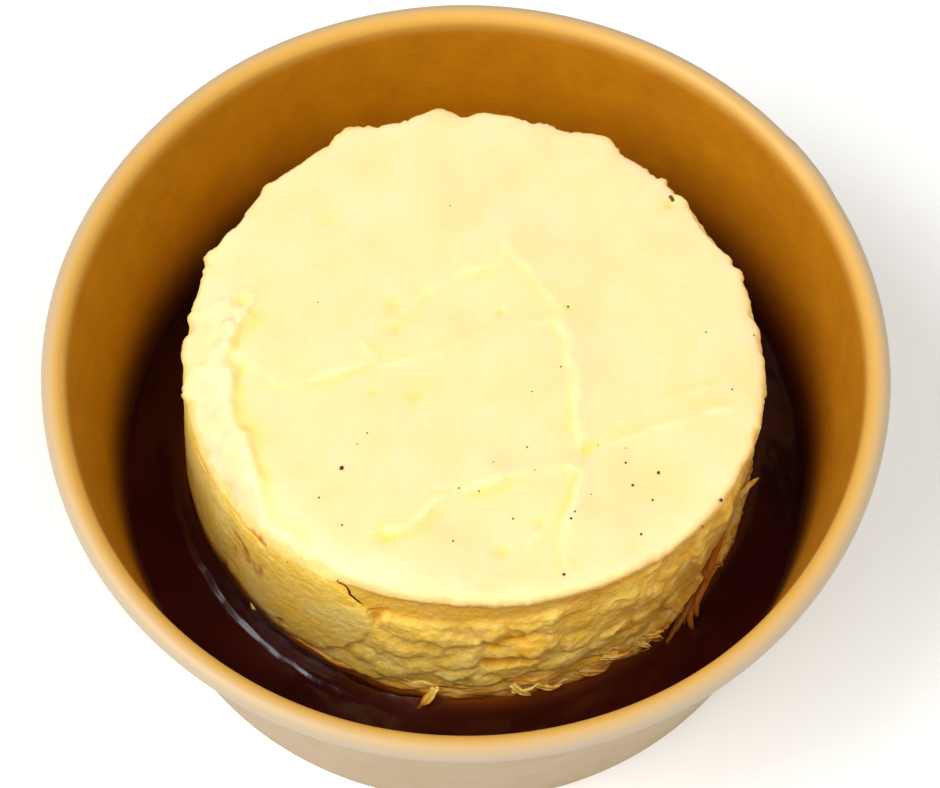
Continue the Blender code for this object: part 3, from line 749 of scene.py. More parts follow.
def linear(code):
    """The scene's linear colour of an sRGB hex code."""
    parts = [int(code[place:place + 2], 16) / 255 for place in (0, 2, 4)]
    return tuple(
        part / 12.92 if part <= 0.04045 else ((part + 0.055) / 1.055) ** 2.4 for part in parts
    )


def add(tree, kind, inputs=None, stops=(), **settings):
    """Adds a node with its settings; an input is a value or the socket that feeds it."""
    made = tree.nodes.new(kind)
    for name, value in settings.items():
        setattr(made, name, value)
    for key, value in (inputs or {}).items():
        if isinstance(value, bpy.types.NodeSocket):
            tree.links.new(value, made.inputs[key])
        else:
            made.inputs[key].default_value = value
    for index, (place, colour) in enumerate(stops):
        elements = made.color_ramp.elements
        element = elements[index] if index < 2 else elements.new(place)
        element.position = place
        element.color = (*colour, 1)
    return made


def started(name, **sockets):
    """A new material, its tree and its shader, with the values that are the same all over."""
    material = bpy.data.materials.new(name)
    material.use_nodes = True
    tree = material.node_tree
    shader = tree.nodes["Principled BSDF"]
    for key, value in sockets.items():
        shader.inputs[key.replace("_", " ")].default_value = value
    return material, tree, shader


# Sockets of a Mix node for colours. Those of a Map Range node are 0 for the value, 1 and 2 for
# the range that it comes from, and 3 and 4 for the range that it goes to.
FACTOR, FIRST, SECOND, MIXED = 0, 6, 7, 2


def soaked_through(tree, colour, look):
    """The colour of food that gravy soaks from its foot: first stained, then covered."""
    soak = add(tree, "ShaderNodeAttribute", attribute_name="soak").outputs["Fac"]
    for low, high, over in ((0.0, 0.6, look.soaked_colour), (0.55, 1.0, look.covered_colour)):
        share = add(tree, "ShaderNodeMapRange", {0: soak, 1: low, 2: high})
        colour = add(tree, "ShaderNodeMix", {
            FACTOR: share.outputs[0], FIRST: colour, SECOND: (*over, 1),
        }, data_type="RGBA").outputs[MIXED]
    return colour


def crack_share(tree, off_crack, torn):
    """1 inside the crack, whose sides are as far from its middle as it is open. There the
    side is painted dark as a painted shadow.
    """
    beside = add(tree, "ShaderNodeMath", {0: off_crack}, operation="ABSOLUTE")
    opened = add(tree, "ShaderNodeMath", {0: torn, 1: 0.25}, operation="MULTIPLY")
    inside = add(tree, "ShaderNodeMath", {
        0: opened.outputs[0], 1: beside.outputs[0],
    }, operation="SUBTRACT")
    return add(tree, "ShaderNodeMapRange", {0: inside.outputs[0], 1: 0.0, 2: 0.12}).outputs[0]


def mash_grain(tree, place, side):
    """The riced potato's grain of about half a millimetre, with crumbs on the torn side."""
    grain = add(tree, "ShaderNodeTexNoise", {
        "Vector": place, "Scale": 1 / (0.55 * MM), "Detail": 3.0,
    })
    raised = add(tree, "ShaderNodeBump", {
        "Height": grain.outputs["Fac"], "Strength": 0.35, "Distance": 0.12 * MM,
    })
    crumbled = add(tree, "ShaderNodeTexNoise", {
        "Vector": place, "Scale": 1 / (1.3 * MM), "Detail": 5.0, "Roughness": 0.62,
    })
    on_side = add(tree, "ShaderNodeMath", {0: side, 1: 0.95}, operation="MULTIPLY")
    return add(tree, "ShaderNodeBump", {
        "Height": crumbled.outputs["Fac"], "Strength": on_side.outputs[0], "Distance": 0.5 * MM,
        "Normal": raised.outputs[0],
    }).outputs[0]


def mash_material(look):
    """Buttered mashed potato, riced fine and spread with a palette knife: a moist, matt, dense
    cream that light enters a little. Painted shade makes it warmer and darker in creases,
    hollows and the crack, and its side a deeper yellow than its top; a painted highlight makes
    its knife burrs paler."""
    material, tree, shader = started(
        "buttered_mash",
        Roughness=0.46,
        IOR=1.33,
        Subsurface_Weight=0.6,
        Subsurface_Radius=(1.0, 0.85, 0.5),
        Subsurface_Scale=1.8 * MM,
        Specular_IOR_Level=0.3,
        Coat_Weight=0.06,
        Coat_Roughness=0.28,
    )
    marks = {
        name: add(tree, "ShaderNodeAttribute", attribute_name=name).outputs["Fac"]
        for name in MASH_MARKS
    }
    place = add(tree, "ShaderNodeTexCoord").outputs["Object"]
    cloud = add(tree, "ShaderNodeTexNoise", {
        "Vector": place, "Scale": 1 / (9 * MM), "Detail": 3.0,
    }).outputs["Fac"]
    fleck = add(tree, "ShaderNodeTexNoise", {
        "Vector": place, "Scale": 1 / (1.8 * MM), "Detail": 4.0,
    }).outputs["Fac"]
    warm = add(tree, "ShaderNodeMapRange", {0: cloud, 1: 0.35, 2: 0.7})
    both = add(tree, "ShaderNodeMath", {0: fleck, 1: cloud}, operation="ADD")
    pale = add(tree, "ShaderNodeMapRange", {0: both.outputs[0], 1: 0.75, 2: 1.3})
    # Painted shade: the side is painted a deeper, more saturated yellow than the top, with paler crumbs
    # at random.
    crumbly = add(tree, "ShaderNodeMix", {
        FACTOR: pale.outputs[0], FIRST: (*look.side_shade_colour, 1), SECOND: (*look.side_pale_colour, 1),
    }, data_type="RGBA").outputs[MIXED]
    crack = crack_share(tree, marks["off_crack"], marks["torn"])
    colour = (*look.top_colour, 1)
    # Hollows, side, creases and crack are painted shade, burrs a painted highlight; the warm clouds and
    # brown bruises are the mash's own colour.
    for share, over in (
        (warm.outputs[0], (*look.warm_colour, 1)),
        (marks["hollow"], (*look.hollow_shade_colour, 1)),
        (marks["burr_highlight"], (*look.burr_highlight_colour, 1)),
        (marks["side"], crumbly),
        (marks["crease"], (*look.crease_shade_colour, 1)),
        (marks["brown"], (*look.bruise_colour, 1)),
        (crack, (*look.crack_shadow_colour, 1)),
    ):
        colour = add(tree, "ShaderNodeMix", {
            FACTOR: share, FIRST: colour, SECOND: over,
        }, data_type="RGBA").outputs[MIXED]
    tree.links.new(soaked_through(tree, colour, look), shader.inputs["Base Color"])
    grain = mash_grain(tree, place, marks["side"])
    tree.links.new(grain, shader.inputs["Normal"])
    return material


def chicken_material(look):
    """Pulled roast chicken: torn bundles of cooked fibre, wet with gravy at the foot, which
    gives pale threads, brown gaps and a moist shine. The colour follows the bump, so the gaps
    are painted darker as painted shade."""
    material, tree, shader = started(
        "pulled_chicken",
        Roughness=0.4,
        IOR=1.38,
        Subsurface_Weight=0.4,
        Subsurface_Radius=(1.0, 0.6, 0.25),
        Subsurface_Scale=1.4 * MM,
        Specular_IOR_Level=0.35,
        Coat_Weight=0.12,
        Coat_Roughness=0.22,
    )
    place = add(tree, "ShaderNodeTexCoord").outputs["Object"]
    fibre = add(tree, "ShaderNodeMapping", {"Vector": place, "Scale": (1.0, 1.0, 6.0)})
    threads = add(tree, "ShaderNodeTexNoise", {
        "Vector": fibre.outputs[0], "Scale": 1 / (3.2 * MM), "Detail": 4.0, "Distortion": 0.8,
    })
    # Painted shade: the colour follows the bump, darker where the fibres lie low in the gaps between
    # bundles.
    tone = add(tree, "ShaderNodeValToRGB", {"Fac": threads.outputs["Fac"]}, stops=(
        (0.3, look.gap_shade_colour), (0.7, look.pale_colour), (0.5, look.meat_colour),
    ))
    tree.links.new(soaked_through(tree, tone.outputs[0], look), shader.inputs["Base Color"])
    raised = add(tree, "ShaderNodeBump", {
        "Height": threads.outputs["Fac"], "Strength": 0.5, "Distance": 0.16 * MM,
    })
    tree.links.new(raised.outputs[0], shader.inputs["Normal"])
    return material


def gravy_material(look):
    """Thick brown meat gravy, reduced and set a little: almost black in depth, with a slow
    unbroken gloss that softens where a skin forms, and red brown where it thins at the food."""
    material, tree, shader = started(
        "beef_gravy",
        IOR=1.36,
        Coat_Weight=0.15,
        Coat_Roughness=0.08,
    )
    place = add(tree, "ShaderNodeTexCoord").outputs["Object"]
    skin = add(tree, "ShaderNodeTexNoise", {
        "Vector": place, "Scale": 1 / (12 * MM), "Detail": 3.0,
    }).outputs["Fac"]
    shallow = add(tree, "ShaderNodeAttribute", attribute_name="shallow").outputs["Fac"]
    colour = (*look.deep_colour, 1)
    for share, over in ((skin, look.thin_colour), (shallow, look.film_colour)):
        colour = add(tree, "ShaderNodeMix", {
            FACTOR: share, FIRST: colour, SECOND: (*over, 1),
        }, data_type="RGBA").outputs[MIXED]
    tree.links.new(colour, shader.inputs["Base Color"])
    gloss = add(tree, "ShaderNodeMapRange", {0: skin, 1: 0.3, 2: 0.7, 3: 0.14, 4: 0.22})
    tree.links.new(gloss.outputs[0], shader.inputs["Roughness"])
    fat = add(tree, "ShaderNodeTexNoise", {"Vector": place, "Scale": 1 / (1.3 * MM), "Detail": 2.0})
    raised = add(tree, "ShaderNodeBump", {
        "Height": fat.outputs["Fac"], "Strength": 0.35, "Distance": 0.08 * MM,
    })
    tree.links.new(raised.outputs[0], shader.inputs["Normal"])
    return material


def kraft_material(name, colour, deep_colour, roughness, coat, spread):
    """Unbleached kraft board, pressed from long wood fibres: a brown clouded by the pulp, with
    fine paler and darker fibres. Where it is coated it has a thin satin film."""
    material, tree, shader = started(
        name, Roughness=roughness, IOR=1.5, Coat_Weight=coat, Coat_Roughness=0.32,
    )
    surface = add(tree, "ShaderNodeUVMap", uv_map="board").outputs[0]
    place = add(tree, "ShaderNodeTexCoord").outputs["Object"]
    pulp = add(tree, "ShaderNodeTexNoise", {"Vector": place, "Scale": 1 / (7 * MM), "Detail": 5.0})
    fibres = []
    for turn, size in FIBRES:
        lie = add(tree, "ShaderNodeMapping", {
            "Vector": surface, "Rotation": (0, 0, math.radians(turn)),
            "Scale": (1.0, FIBRE_STRETCH, 1.0),
        })
        fibres.append(add(tree, "ShaderNodeTexNoise", {
            "Vector": lie.outputs[0], "Scale": 1 / size, "Detail": 4.0, "Distortion": 0.4,
        }).outputs["Fac"])
    felted = add(tree, "ShaderNodeMath", {0: fibres[0], 1: fibres[1]}, operation="ADD").outputs[0]
    both = add(tree, "ShaderNodeMath", {0: felted, 1: pulp.outputs["Fac"]}, operation="ADD")
    share = add(tree, "ShaderNodeMapRange", {
        0: both.outputs[0], 1: 1.5 - spread, 2: 1.5 + spread, 3: 0.0, 4: 1.0,
    })
    tone = add(tree, "ShaderNodeMix", {
        FACTOR: share.outputs[0], FIRST: (*deep_colour, 1), SECOND: (*colour, 1),
    }, data_type="RGBA").outputs[MIXED]
    tree.links.new(tone, shader.inputs["Base Color"])
    raised = add(tree, "ShaderNodeBump", {
        "Height": felted, "Strength": 0.25, "Distance": 0.05 * MM,
    })
    tree.links.new(raised.outputs[0], shader.inputs["Normal"])
    return material, tree, shader, tone


def coated_kraft(look):
    """The bowl's inside and curl: kraft board under a satin film, golden, with its rim
    painted paler as painted light and its wall painted deep brown down by the gravy as
    painted shade and a painted reflection of the dark gravy."""
    material, tree, shader, colour = kraft_material(
        "coated_kraft_board", look.inside_shaded_colour, look.inside_deep_colour, 0.5, 0.08, 0.5,
    )
    place = add(tree, "ShaderNodeTexCoord").outputs["Object"]
    height = add(tree, "ShaderNodeSeparateXYZ", {0: place}).outputs["Z"]
    # Painted shade and a painted reflection of the dark gravy: the wall darkens towards the gravy.
    low_wall_shade = add(tree, "ShaderNodeMapRange", {
        0: height, 1: GRAVY_LEVEL, 2: GRAVY_LEVEL + 17 * MM, 3: 0.95, 4: 0.0,
    }, interpolation_type="SMOOTHSTEP")
    # Painted light: the rim's curl, where the light catches it, and its outer flank are painted paler
    # and greyer.
    lit_rim = add(tree, "ShaderNodeMapRange", {
        0: height, 1: BOWL_HEIGHT - 4.5 * MM, 2: BOWL_HEIGHT - 1.2 * MM, 3: 0.0, 4: 1.0,
    }, interpolation_type="SMOOTHSTEP")
    flat = add(tree, "ShaderNodeVectorMath", {0: place, 1: (1, 1, 0)}, operation="MULTIPLY")
    radius = add(tree, "ShaderNodeVectorMath", {0: flat.outputs[0]}, operation="LENGTH")
    lit_flank = add(tree, "ShaderNodeMapRange", {
        0: radius.outputs["Value"], 1: RIM_RADIUS - 3.2 * MM, 2: RIM_RADIUS - 0.3 * MM,
        3: 0.0, 4: 0.9,
    })
    for share, over in (
        (low_wall_shade, look.low_wall_shade_colour), (lit_rim, look.rim_light_colour), (lit_flank, look.rim_flank_light_colour),
    ):
        colour = add(tree, "ShaderNodeMix", {
            FACTOR: share.outputs[0], FIRST: colour, SECOND: (*over, 1),
        }, data_type="RGBA").outputs[MIXED]
    tree.links.new(colour, shader.inputs["Base Color"])
    return material


def raw_kraft(look):
    """The bowl's outside: bare kraft board, matt and a little furry, paler than the inside,
    whose deeper orange is painted shade.
    """
    return kraft_material(
        "raw_kraft_board", look.outside_colour, look.outside_deep_colour, 0.72, 0.0, 0.42,
    )[0]


def speck_material(name, colour, roughness):
    """Ground black pepper or dried thyme: crushed husk or leaf, dull and dark, with paler
    broken faces."""
    material, tree, shader = started(name, Roughness=roughness)
    place = add(tree, "ShaderNodeTexCoord").outputs["Object"]
    broken = add(tree, "ShaderNodeTexNoise", {
        "Vector": place, "Scale": 1 / (0.3 * MM), "Detail": 2.0,
    })
    tone = add(tree, "ShaderNodeValToRGB", {"Fac": broken.outputs["Fac"]}, stops=(
        (0.35, tuple(part * 0.4 for part in colour)), (0.65, colour),
    ))
    tree.links.new(tone.outputs[0], shader.inputs["Base Color"])
    return material


def floor_material(look):
    """White painted board: plain and matt, so that only soft shadows show on it."""
    material, _, shader = started("painted_board", Roughness=0.8)
    shader.inputs["Base Color"].default_value = (*look.floor_colour, 1)
    return material


# Settings


def colour_setting(name, code, description):
    """A colour that the user can change, written as an sRGB hex code."""
    return FloatVectorProperty(
        name=name, description=description, default=linear(code), size=3, min=0, max=1, subtype="COLOR",
    )


def length_setting(name, length, description):
    """A length of up to a millimetre that the user can change."""
    return FloatProperty(
        name=name, description=description, default=length,
        min=0, max=1 * MM, subtype="DISTANCE", unit="LENGTH",
    )


class BowlLook(bpy.types.PropertyGroup):
    """Colours of the paper bowl, and its seam."""

    # Inside: the same board as outside, painted a deeper and more saturated orange as painted shade.
    inside_shaded_colour: colour_setting("Inside", "C08002", "Coated kraft board in the light")
    inside_deep_colour: colour_setting("Inside, deep", "A66400", "Darker clouds of the coated board")
    # Stained: painted shade and a painted reflection of the gravy on the low inside wall.
    low_wall_shade_colour: colour_setting("Stained", "4A1C04", "Coated board just over the gravy")
    # Rim: painted light on the curl, where the light catches it.
    rim_light_colour: colour_setting("Rim", "CC9A42", "The rolled rim, bleached by the light")
    # Rim, outside: painted light, paler and greyer out to the curl's outer edge.
    rim_flank_light_colour: colour_setting(
        "Rim, outside", "AFA088", "The rim's outer flank, where the film is stretched thin",
    )
    outside_colour: colour_setting("Outside", "B8A486", "Bare kraft board")
    outside_deep_colour: colour_setting("Outside, deep", "AC936E", "Darker clouds of the bare board")
    seam_step: length_setting("Seam step", 0.3 * MM, "How far the overlap stands out")


class GravyLook(bpy.types.PropertyGroup):
    """Colours of the gravy, and its unevenness."""

    deep_colour: colour_setting("Deep", "1E0100", "Gravy where it is deep")
    thin_colour: colour_setting("Clouded", "420A00", "Paler clouds in the deep gravy")
    film_colour: colour_setting("Film", "7A3A0A", "Gravy where it thins out at the food")
    ripple: length_setting("Ripple", 0.16 * MM, "Height of the slow waves set in the gravy")
    skin: length_setting("Skin", 0.34 * MM, "Height of the skin round the food at the front left")


class ChickenLook(bpy.types.PropertyGroup):
    """Colours of the pulled chicken, and how shredded it is."""

    pale_colour: colour_setting("Pale fibre", "FFE6A0", "Dry ends of the fibres")
    meat_colour: colour_setting("Meat", "FFC84E", "Most of the meat")
    # Dark: painted shade in the gaps between bundles.
    gap_shade_colour: colour_setting("Dark", "DC9622", "Gaps between bundles")
    soaked_colour: colour_setting("Soaked", "B06614", "Meat stained with gravy")
    covered_colour: colour_setting("Covered", "461A04", "Meat under a film of gravy")
    fine_shreds: IntProperty(
        name="Fine shreds", description="Short fibres lying on the side", default=70, min=0, max=600,
    )


class MashLook(bpy.types.PropertyGroup):
    """Colours of the mashed potato and the specks on it."""

    top_colour: colour_setting("Top", "F6CE9C", "The smeared top")
    warm_colour: colour_setting("Top, warm", "F6CA8C", "Clouds of butter in the top")
    # Hollow: painted shade beside the knife marks and in dents.
    hollow_shade_colour: colour_setting("Hollow", "F8CC62", "Hollows beside the knife marks")
    # Burr: real drawn-up edges, painted paler as a painted highlight on the crests.
    burr_highlight_colour: colour_setting("Burr", "FFE6BA", "Edges that the knife drew up")
    # Side: painted shade, a deeper yellow than the top's cream.
    side_shade_colour: colour_setting("Side", "F6CE4A", "The crumbly side")
    side_pale_colour: colour_setting("Side, pale", "FCE484", "Drier crumbs of the side")
    # Crease: painted shade in the side's creases, pits and the band under the top's edge.
    crease_shade_colour: colour_setting("Crease", "E09E0C", "Deep creases of the side")
    bruise_colour: colour_setting("Bruise", "C47E3C", "Bruised spots of the side")
    # Crack: a painted shadow in the narrow crack.
    crack_shadow_colour: colour_setting("Crack", "3E1602", "The narrow crack in the side")
    soaked_colour: colour_setting("Soaked", "AC6E20", "Mash stained with gravy")
    covered_colour: colour_setting("Covered", "4A1E04", "Mash under a film of gravy")
    pepper_colour: colour_setting("Pepper", "5A3A1C", "Broken faces of the ground pepper")
    thyme_colour: colour_setting("Thyme", "66582A", "The fleck of dried thyme")


class StageLook(bpy.types.PropertyGroup):
    """The floor's colour, and how bright the light is."""

    floor_colour: colour_setting("Floor", "EFEDE9", "Plain floor")
    key_power: FloatProperty(
        name="Main light", description="Power of the large light at the left", default=12.2,
        min=0, max=200, subtype="POWER", unit="POWER",
    )
    fill_strength: FloatProperty(
        name="Fill", description="Strength of the white surroundings", default=0.44, min=0, max=5,
    )


# Pieces


def unrolled(mesh, shift=0.0):
    """Gives a turned mesh a UV map called board: arc length across, height and radius along."""
    layer = mesh.loops.layers.uv.new("board")
    for face in mesh.faces:
        middle = face.calc_center_median()
        home = math.atan2(middle.y, middle.x)
        for loop in face.loops:
            x, y, z = loop.vert.co
            radius = math.hypot(x, y)
            turn = math.atan2(y, x) if radius > 1e-6 else home
            turn = home + (turn - home + math.pi) % math.tau - math.pi
            loop[layer].uv = (turn * FOOT_RADIUS + shift, z + radius)


def paper_inner_radius(height):
    """The inner face of the bowl's slanted wall."""
    inner_top = RIM_RADIUS - 2 * CURL_RADIUS
    inner_foot = FOOT_RADIUS - PAPER
    return inner_foot + (inner_top - inner_foot) * height / (BOWL_HEIGHT - CURL_RADIUS)


def turned(profile, closed, steps):
    """A mesh spun about the Z axis from a profile of radius and height."""
    mesh = bmesh.new()
    points = [mesh.verts.new((radius, 0, height)) for radius, height in profile]
    for start, end in zip(points, points[1:]):
        mesh.edges.new((start, end))
    if closed:
        mesh.edges.new((points[-1], points[0]))
    bmesh.ops.spin(
        mesh, geom=mesh.verts[:] + mesh.edges[:], cent=(0, 0, 0), axis=(0, 0, 1),
        angle=math.tau, steps=steps, use_merge=True,
    )
    bmesh.ops.remove_doubles(mesh, verts=mesh.verts, dist=1e-6)
    return mesh


def wall_profile():
    """The board's path in section: up the outside, over the curl, down the inside to the hem."""
    curl_centre = RIM_RADIUS - CURL_RADIUS
    curl_height = BOWL_HEIGHT - CURL_RADIUS
    slope = (paper_inner_radius(curl_height) + PAPER - FOOT_RADIUS) / curl_height
    meet_height = curl_height - CURL_RADIUS * CURL_MEET
    meet_radius = FOOT_RADIUS + slope * meet_height
    outside = [
        (FOOT_RADIUS + slope * meet_height * row / WALL_ROWS, meet_height * row / WALL_ROWS)
        for row in range(WALL_ROWS + 1)
    ]
    start = math.atan2(meet_height - curl_height, meet_radius - curl_centre)
    curl = []
    for row in range(1, CURL_ROWS + 1):
        angle = start + (math.pi - start) * row / CURL_ROWS
        radius = curl_centre + CURL_RADIUS * math.cos(angle)
        curl.append((radius, curl_height + CURL_RADIUS * math.sin(angle)))
    inside = []
    for row in range(1, WALL_ROWS + 1):
        height = curl_height + (PAPER - curl_height) * row / WALL_ROWS
        inside.append((paper_inner_radius(height), height))
    outer = paper_inner_radius(PAPER) - 2 * CLEARANCE - PAPER
    inner = outer - PAPER
    hem = [(outer, PAPER), (outer, HEM_HEIGHT), (inner, HEM_HEIGHT), (inner, 0)]
    return [*outside, *curl, *inside, *hem]


def make_wall(look):
    """The wall and its rolled rim, with the glued overlap where the board's ends meet."""
    mesh = turned(wall_profile(), True, WALL_COLUMNS)
    for vert in mesh.verts:
        radius = math.hypot(vert.co.x, vert.co.y)
        angle = math.atan2(vert.co.y, vert.co.x)
        before = (SEAM_ANGLE - angle) / SEAM_WIDTH
        step = 0.0
        outer = radius > paper_inner_radius(vert.co.z) + PAPER * 0.5
        if outer and 0 <= before < SEAM_TAPER:
            step = look.seam_step * (1 - ramp(before, 1.0, SEAM_TAPER))
        spot = Vector((math.cos(angle) * 2, math.sin(angle) * 2, vert.co.z * 14))
        wave = noise.noise(spot) * WALL_WAVE * ramp(vert.co.z, 0, 20 * MM)
        scale = (radius + step + wave) / radius
        vert.co.x *= scale
        vert.co.y *= scale
    unrolled(mesh)
    for face in mesh.faces:
        middle = face.calc_center_median()
        radius = math.hypot(middle.x, middle.y)
        on_curl = middle.z > BOWL_HEIGHT - CURL_RADIUS * (1 + CURL_MEET)
        coated = on_curl or radius < paper_inner_radius(middle.z) + PAPER * 0.6
        face.material_index = 0 if coated else 1
    wall = finished("kraft_wall", mesh, coated_kraft(look), BOARD_EDGE)
    wall.data.materials.append(raw_kraft(look))
    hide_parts("bowl_wall")


def make_floor(look):
    """The pressed-in floor under the food, with its flange in the wall's hem."""
    low = PAPER + CLEARANCE
    under = FLOOR_HEIGHT - PAPER
    outer = paper_inner_radius(FLOOR_HEIGHT) - CLEARANCE
    flange = paper_inner_radius(low) - CLEARANCE
    inner = flange - PAPER
    profile = [(outer * row / FLOOR_ROWS, FLOOR_HEIGHT) for row in range(FLOOR_ROWS + 1)]
    profile += [(flange, low), (inner, low)]
    profile += [(inner * row / FLOOR_ROWS, under) for row in range(FLOOR_ROWS, -1, -1)]
    mesh = turned(profile, False, FLOOR_COLUMNS)
    # Shifted, so that its fibres aren't the wall's.
    unrolled(mesh, 0.01)
    floor = finished("kraft_floor", mesh, raw_kraft(look), BOARD_EDGE)
    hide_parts("bowl_floor")


def make_mash(look):
    """The potato: a square grid spread over the top, and its edge drawn down the side."""
    mesh = bmesh.new()
    turn = mesh.verts.layers.float.new("turn")
    tags = {name: mesh.verts.layers.float.new(name) for name in (*MASH_MARKS, "soak")}
    bmesh.ops.create_grid(mesh, x_segments=TOP_CELLS, y_segments=TOP_CELLS, size=1)
    for vert in mesh.verts:
        angle, share = on_disc(vert.co.x, vert.co.y)
        vert[turn] = angle
        vert.co, burr_highlight, hollow, edge = top_point(angle, share)
        vert[tags["burr_highlight"]] = max(burr_highlight, edge_paleness(angle) * edge)
        vert[tags["hollow"]] = hollow * (1 - edge)
        # Painted shade starts at the top's rounded edge, where it turns down to the side.
        vert[tags["side"]] = 0.55 * ramp(share, 0.972, 1.0)
    edges = [edge for edge in mesh.edges if edge.is_boundary]
    high = FOOD_HEIGHT - EDGE_ROUND
    for row in range(1, SIDE_ROWS + 1):
        ring, edges = drawn_out(mesh, edges)
        for vert in ring:
            angle = vert[turn]
            height = high + (join_height(angle) - high) * (row / SIDE_ROWS)
            vert.co, marks = side_point(angle, height)
            for name, level in marks.items():
                vert[tags[name]] = level
            vert.co.z -= sag(angle, 1.0) * bump(height, high, 5 * MM)
            vert[tags["burr_highlight"]] = edge_paleness(angle) * bump(height, high, 1.1 * MM)
            vert[tags["hollow"]] = 0.0
            vert[tags["side"]] = 1 - 0.45 * bump(height, high, 0.9 * MM)
            vert[tags["soak"]] = soaked_share(angle, vert.co.z)
    # The hidden underside, down to the join.
    for share in (0.95, 0.8, 0.5):
        ring, edges = drawn_out(mesh, edges)
        for vert in ring:
            angle = vert[turn]
            height = join_height(angle, share)
            centre = food_centre(height)
            point, _ = side_point(angle, height)
            vert.co = centre + (point - centre) * share
            vert.co.z = height
    drawn_shut(mesh, edges)
    mash = finished("mashed_potato", mesh, mash_material(look))
    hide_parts("potato")


def chicken_point(angle, height):
    """A point of the layer of chicken: soft bundles with fibres that run round the food."""
    turn = turn_between(math.degrees(angle), 0)
    spot = towards(angle) * FOOD_FOOT_RADIUS
    lie = Vector((spot.x, spot.y, height * 1.4))
    bundles = noise.noise(lie / (7 * MM)) * 0.8
    lie.z = height * 3.0 + noise.noise(spot / (8 * MM)) * 6 * MM
    bundles += noise.noise(lie / (3.4 * MM)) * 0.5 + noise.noise(lie / (1.7 * MM)) * 0.2
    bundles *= 1 - 0.75 * facing(turn, SOAK_ANGLE, SOAK_SPREAD)
    right = ramp(turn, -84, -66) * (1 - ramp(turn, 6, 30))
    tucked = 1.3 * bump(height, join_height(angle), 1.1 * MM) * right
    hollow = 1.9 * facing(turn, -80, 8) * bump(height, 26 * MM, 5 * MM)
    out = (bundles + 0.9 * ramp(turn, -72, -50) * right - hollow - tucked) * MM
    return from_middle(angle, height, plain_radius(angle, height) + out)


def side_pose(turn, height, out):
    """A point out from the chicken's side, given in degrees and millimetres."""
    angle = math.radians(turn)
    return chicken_point(angle, height * MM) + towards(angle) * out * MM


def shred_template():
    """A straight strip with one ring of points for each row, made once and copied."""
    mesh = bmesh.new()
    row_of = mesh.verts.layers.int.new("row")
    bmesh.ops.create_circle(mesh, cap_ends=True, segments=SHRED_SIDES, radius=1)
    face = mesh.faces[:][0]
    for row in range(1, SHRED_ROWS + 1):
        made = bmesh.ops.extrude_face_region(mesh, geom=[face])["geom"]
        if row > 1:
            mesh.faces.remove(face)
        face = next(part for part in made if isinstance(part, bmesh.types.BMFace))
        for vert in face.verts:
            vert[row_of] = row
    corner_of = mesh.verts.layers.int.new("corner")
    for vert in mesh.verts:
        turn = math.atan2(vert.co.y, vert.co.x) / math.tau
        vert[corner_of] = round(turn * SHRED_SIDES) % SHRED_SIDES
    return stored("shred_template", mesh)


def on_path(points, share):
    """A point of the smooth curve through a list of vectors."""
    last = len(points) - 1
    index = min(int(share * last), last - 1)
    part = share * last - index
    before, start, end, after = (points[min(max(index + step, 0), last)] for step in (-1, 0, 1, 2))
    curve = 2 * start + (end - before) * part
    curve += (2 * before - 5 * start + 4 * end - after) * part ** 2
    return (curve + (3 * start - before - 3 * end + after) * part ** 3) / 2


def lay_shred(mesh, template, spine, width, thickness, seed, wet=0.0):
    """Copies the strip along a spine, a function from 0 to 1 to a point."""
    before = len(mesh.verts)
    mesh.from_mesh(template)
    mesh.verts.ensure_lookup_table()
    row_of = mesh.verts.layers.int["row"]
    corner_of = mesh.verts.layers.int["corner"]
    soak = mesh.verts.layers.float["soak"]
    points = [spine(row / SHRED_ROWS) for row in range(SHRED_ROWS + 1)]
    blunt = 0.24 + 0.6 * wet
    for vert in mesh.verts[before:]:
        row = vert[row_of]
        middle = points[row]
        ahead = (points[min(row + 1, SHRED_ROWS)] - points[max(row - 1, 0)]).normalized()
        outward = Vector((middle.x, middle.y - FOOD_CENTRE_Y, 0)).normalized()
        flat = ahead.cross(outward).normalized()
        thin = flat.cross(ahead).normalized()
        taper = blunt + (1 - blunt) * (1 - (row / SHRED_ROWS) ** 2.5)
        fray = 1 + 0.35 * noise.noise(Vector((seed * 3.1, row * 0.9, vert[corner_of] * 1.3)))
        turn = math.tau * vert[corner_of] / SHRED_SIDES
        vert.co = middle + flat * math.cos(turn) * width * 0.5 * taper * fray
        vert.co += thin * math.sin(turn) * thickness * 0.5 * taper * fray
        vert[soak] = max(wet, 0.8 - 0.8 * ramp(vert.co.z, GRAVY_LEVEL, GRAVY_LEVEL + 2.8 * MM))


def lay_loose_shreds(mesh, template):
    """Lays the strands that come away from the side, each drawn as a few thinner ones."""
    for number, (width, thickness, wet, path) in enumerate(LOOSE_SHREDS):
        curve = as_path(path)
        for strand in range(STRANDS):
            aside = (strand / (STRANDS - 1) - 0.5) * width * 0.42
            seed = number * STRANDS + strand

            def spine(share, curve=curve, aside=aside, seed=seed):
                reach = share * (1 - 0.14 * (seed % 2))
                turn, height, radius = on_path(curve, reach)
                stray = noise.noise_vector(Vector((reach * 2.4, seed * 1.7, 0))) * 0.5
                stray *= ramp(reach, 0, 0.5)
                angle = math.radians(turn + (aside + stray.x) / ARC_OF_DEGREE)
                out = towards(angle) * (radius + 0.4 * stray.y) * MM
                return food_centre((height + aside * 0.8 + stray.z) * MM) + out

            lay_shred(mesh, template, spine, width * 0.66 * MM, thickness * MM, seed, wet)


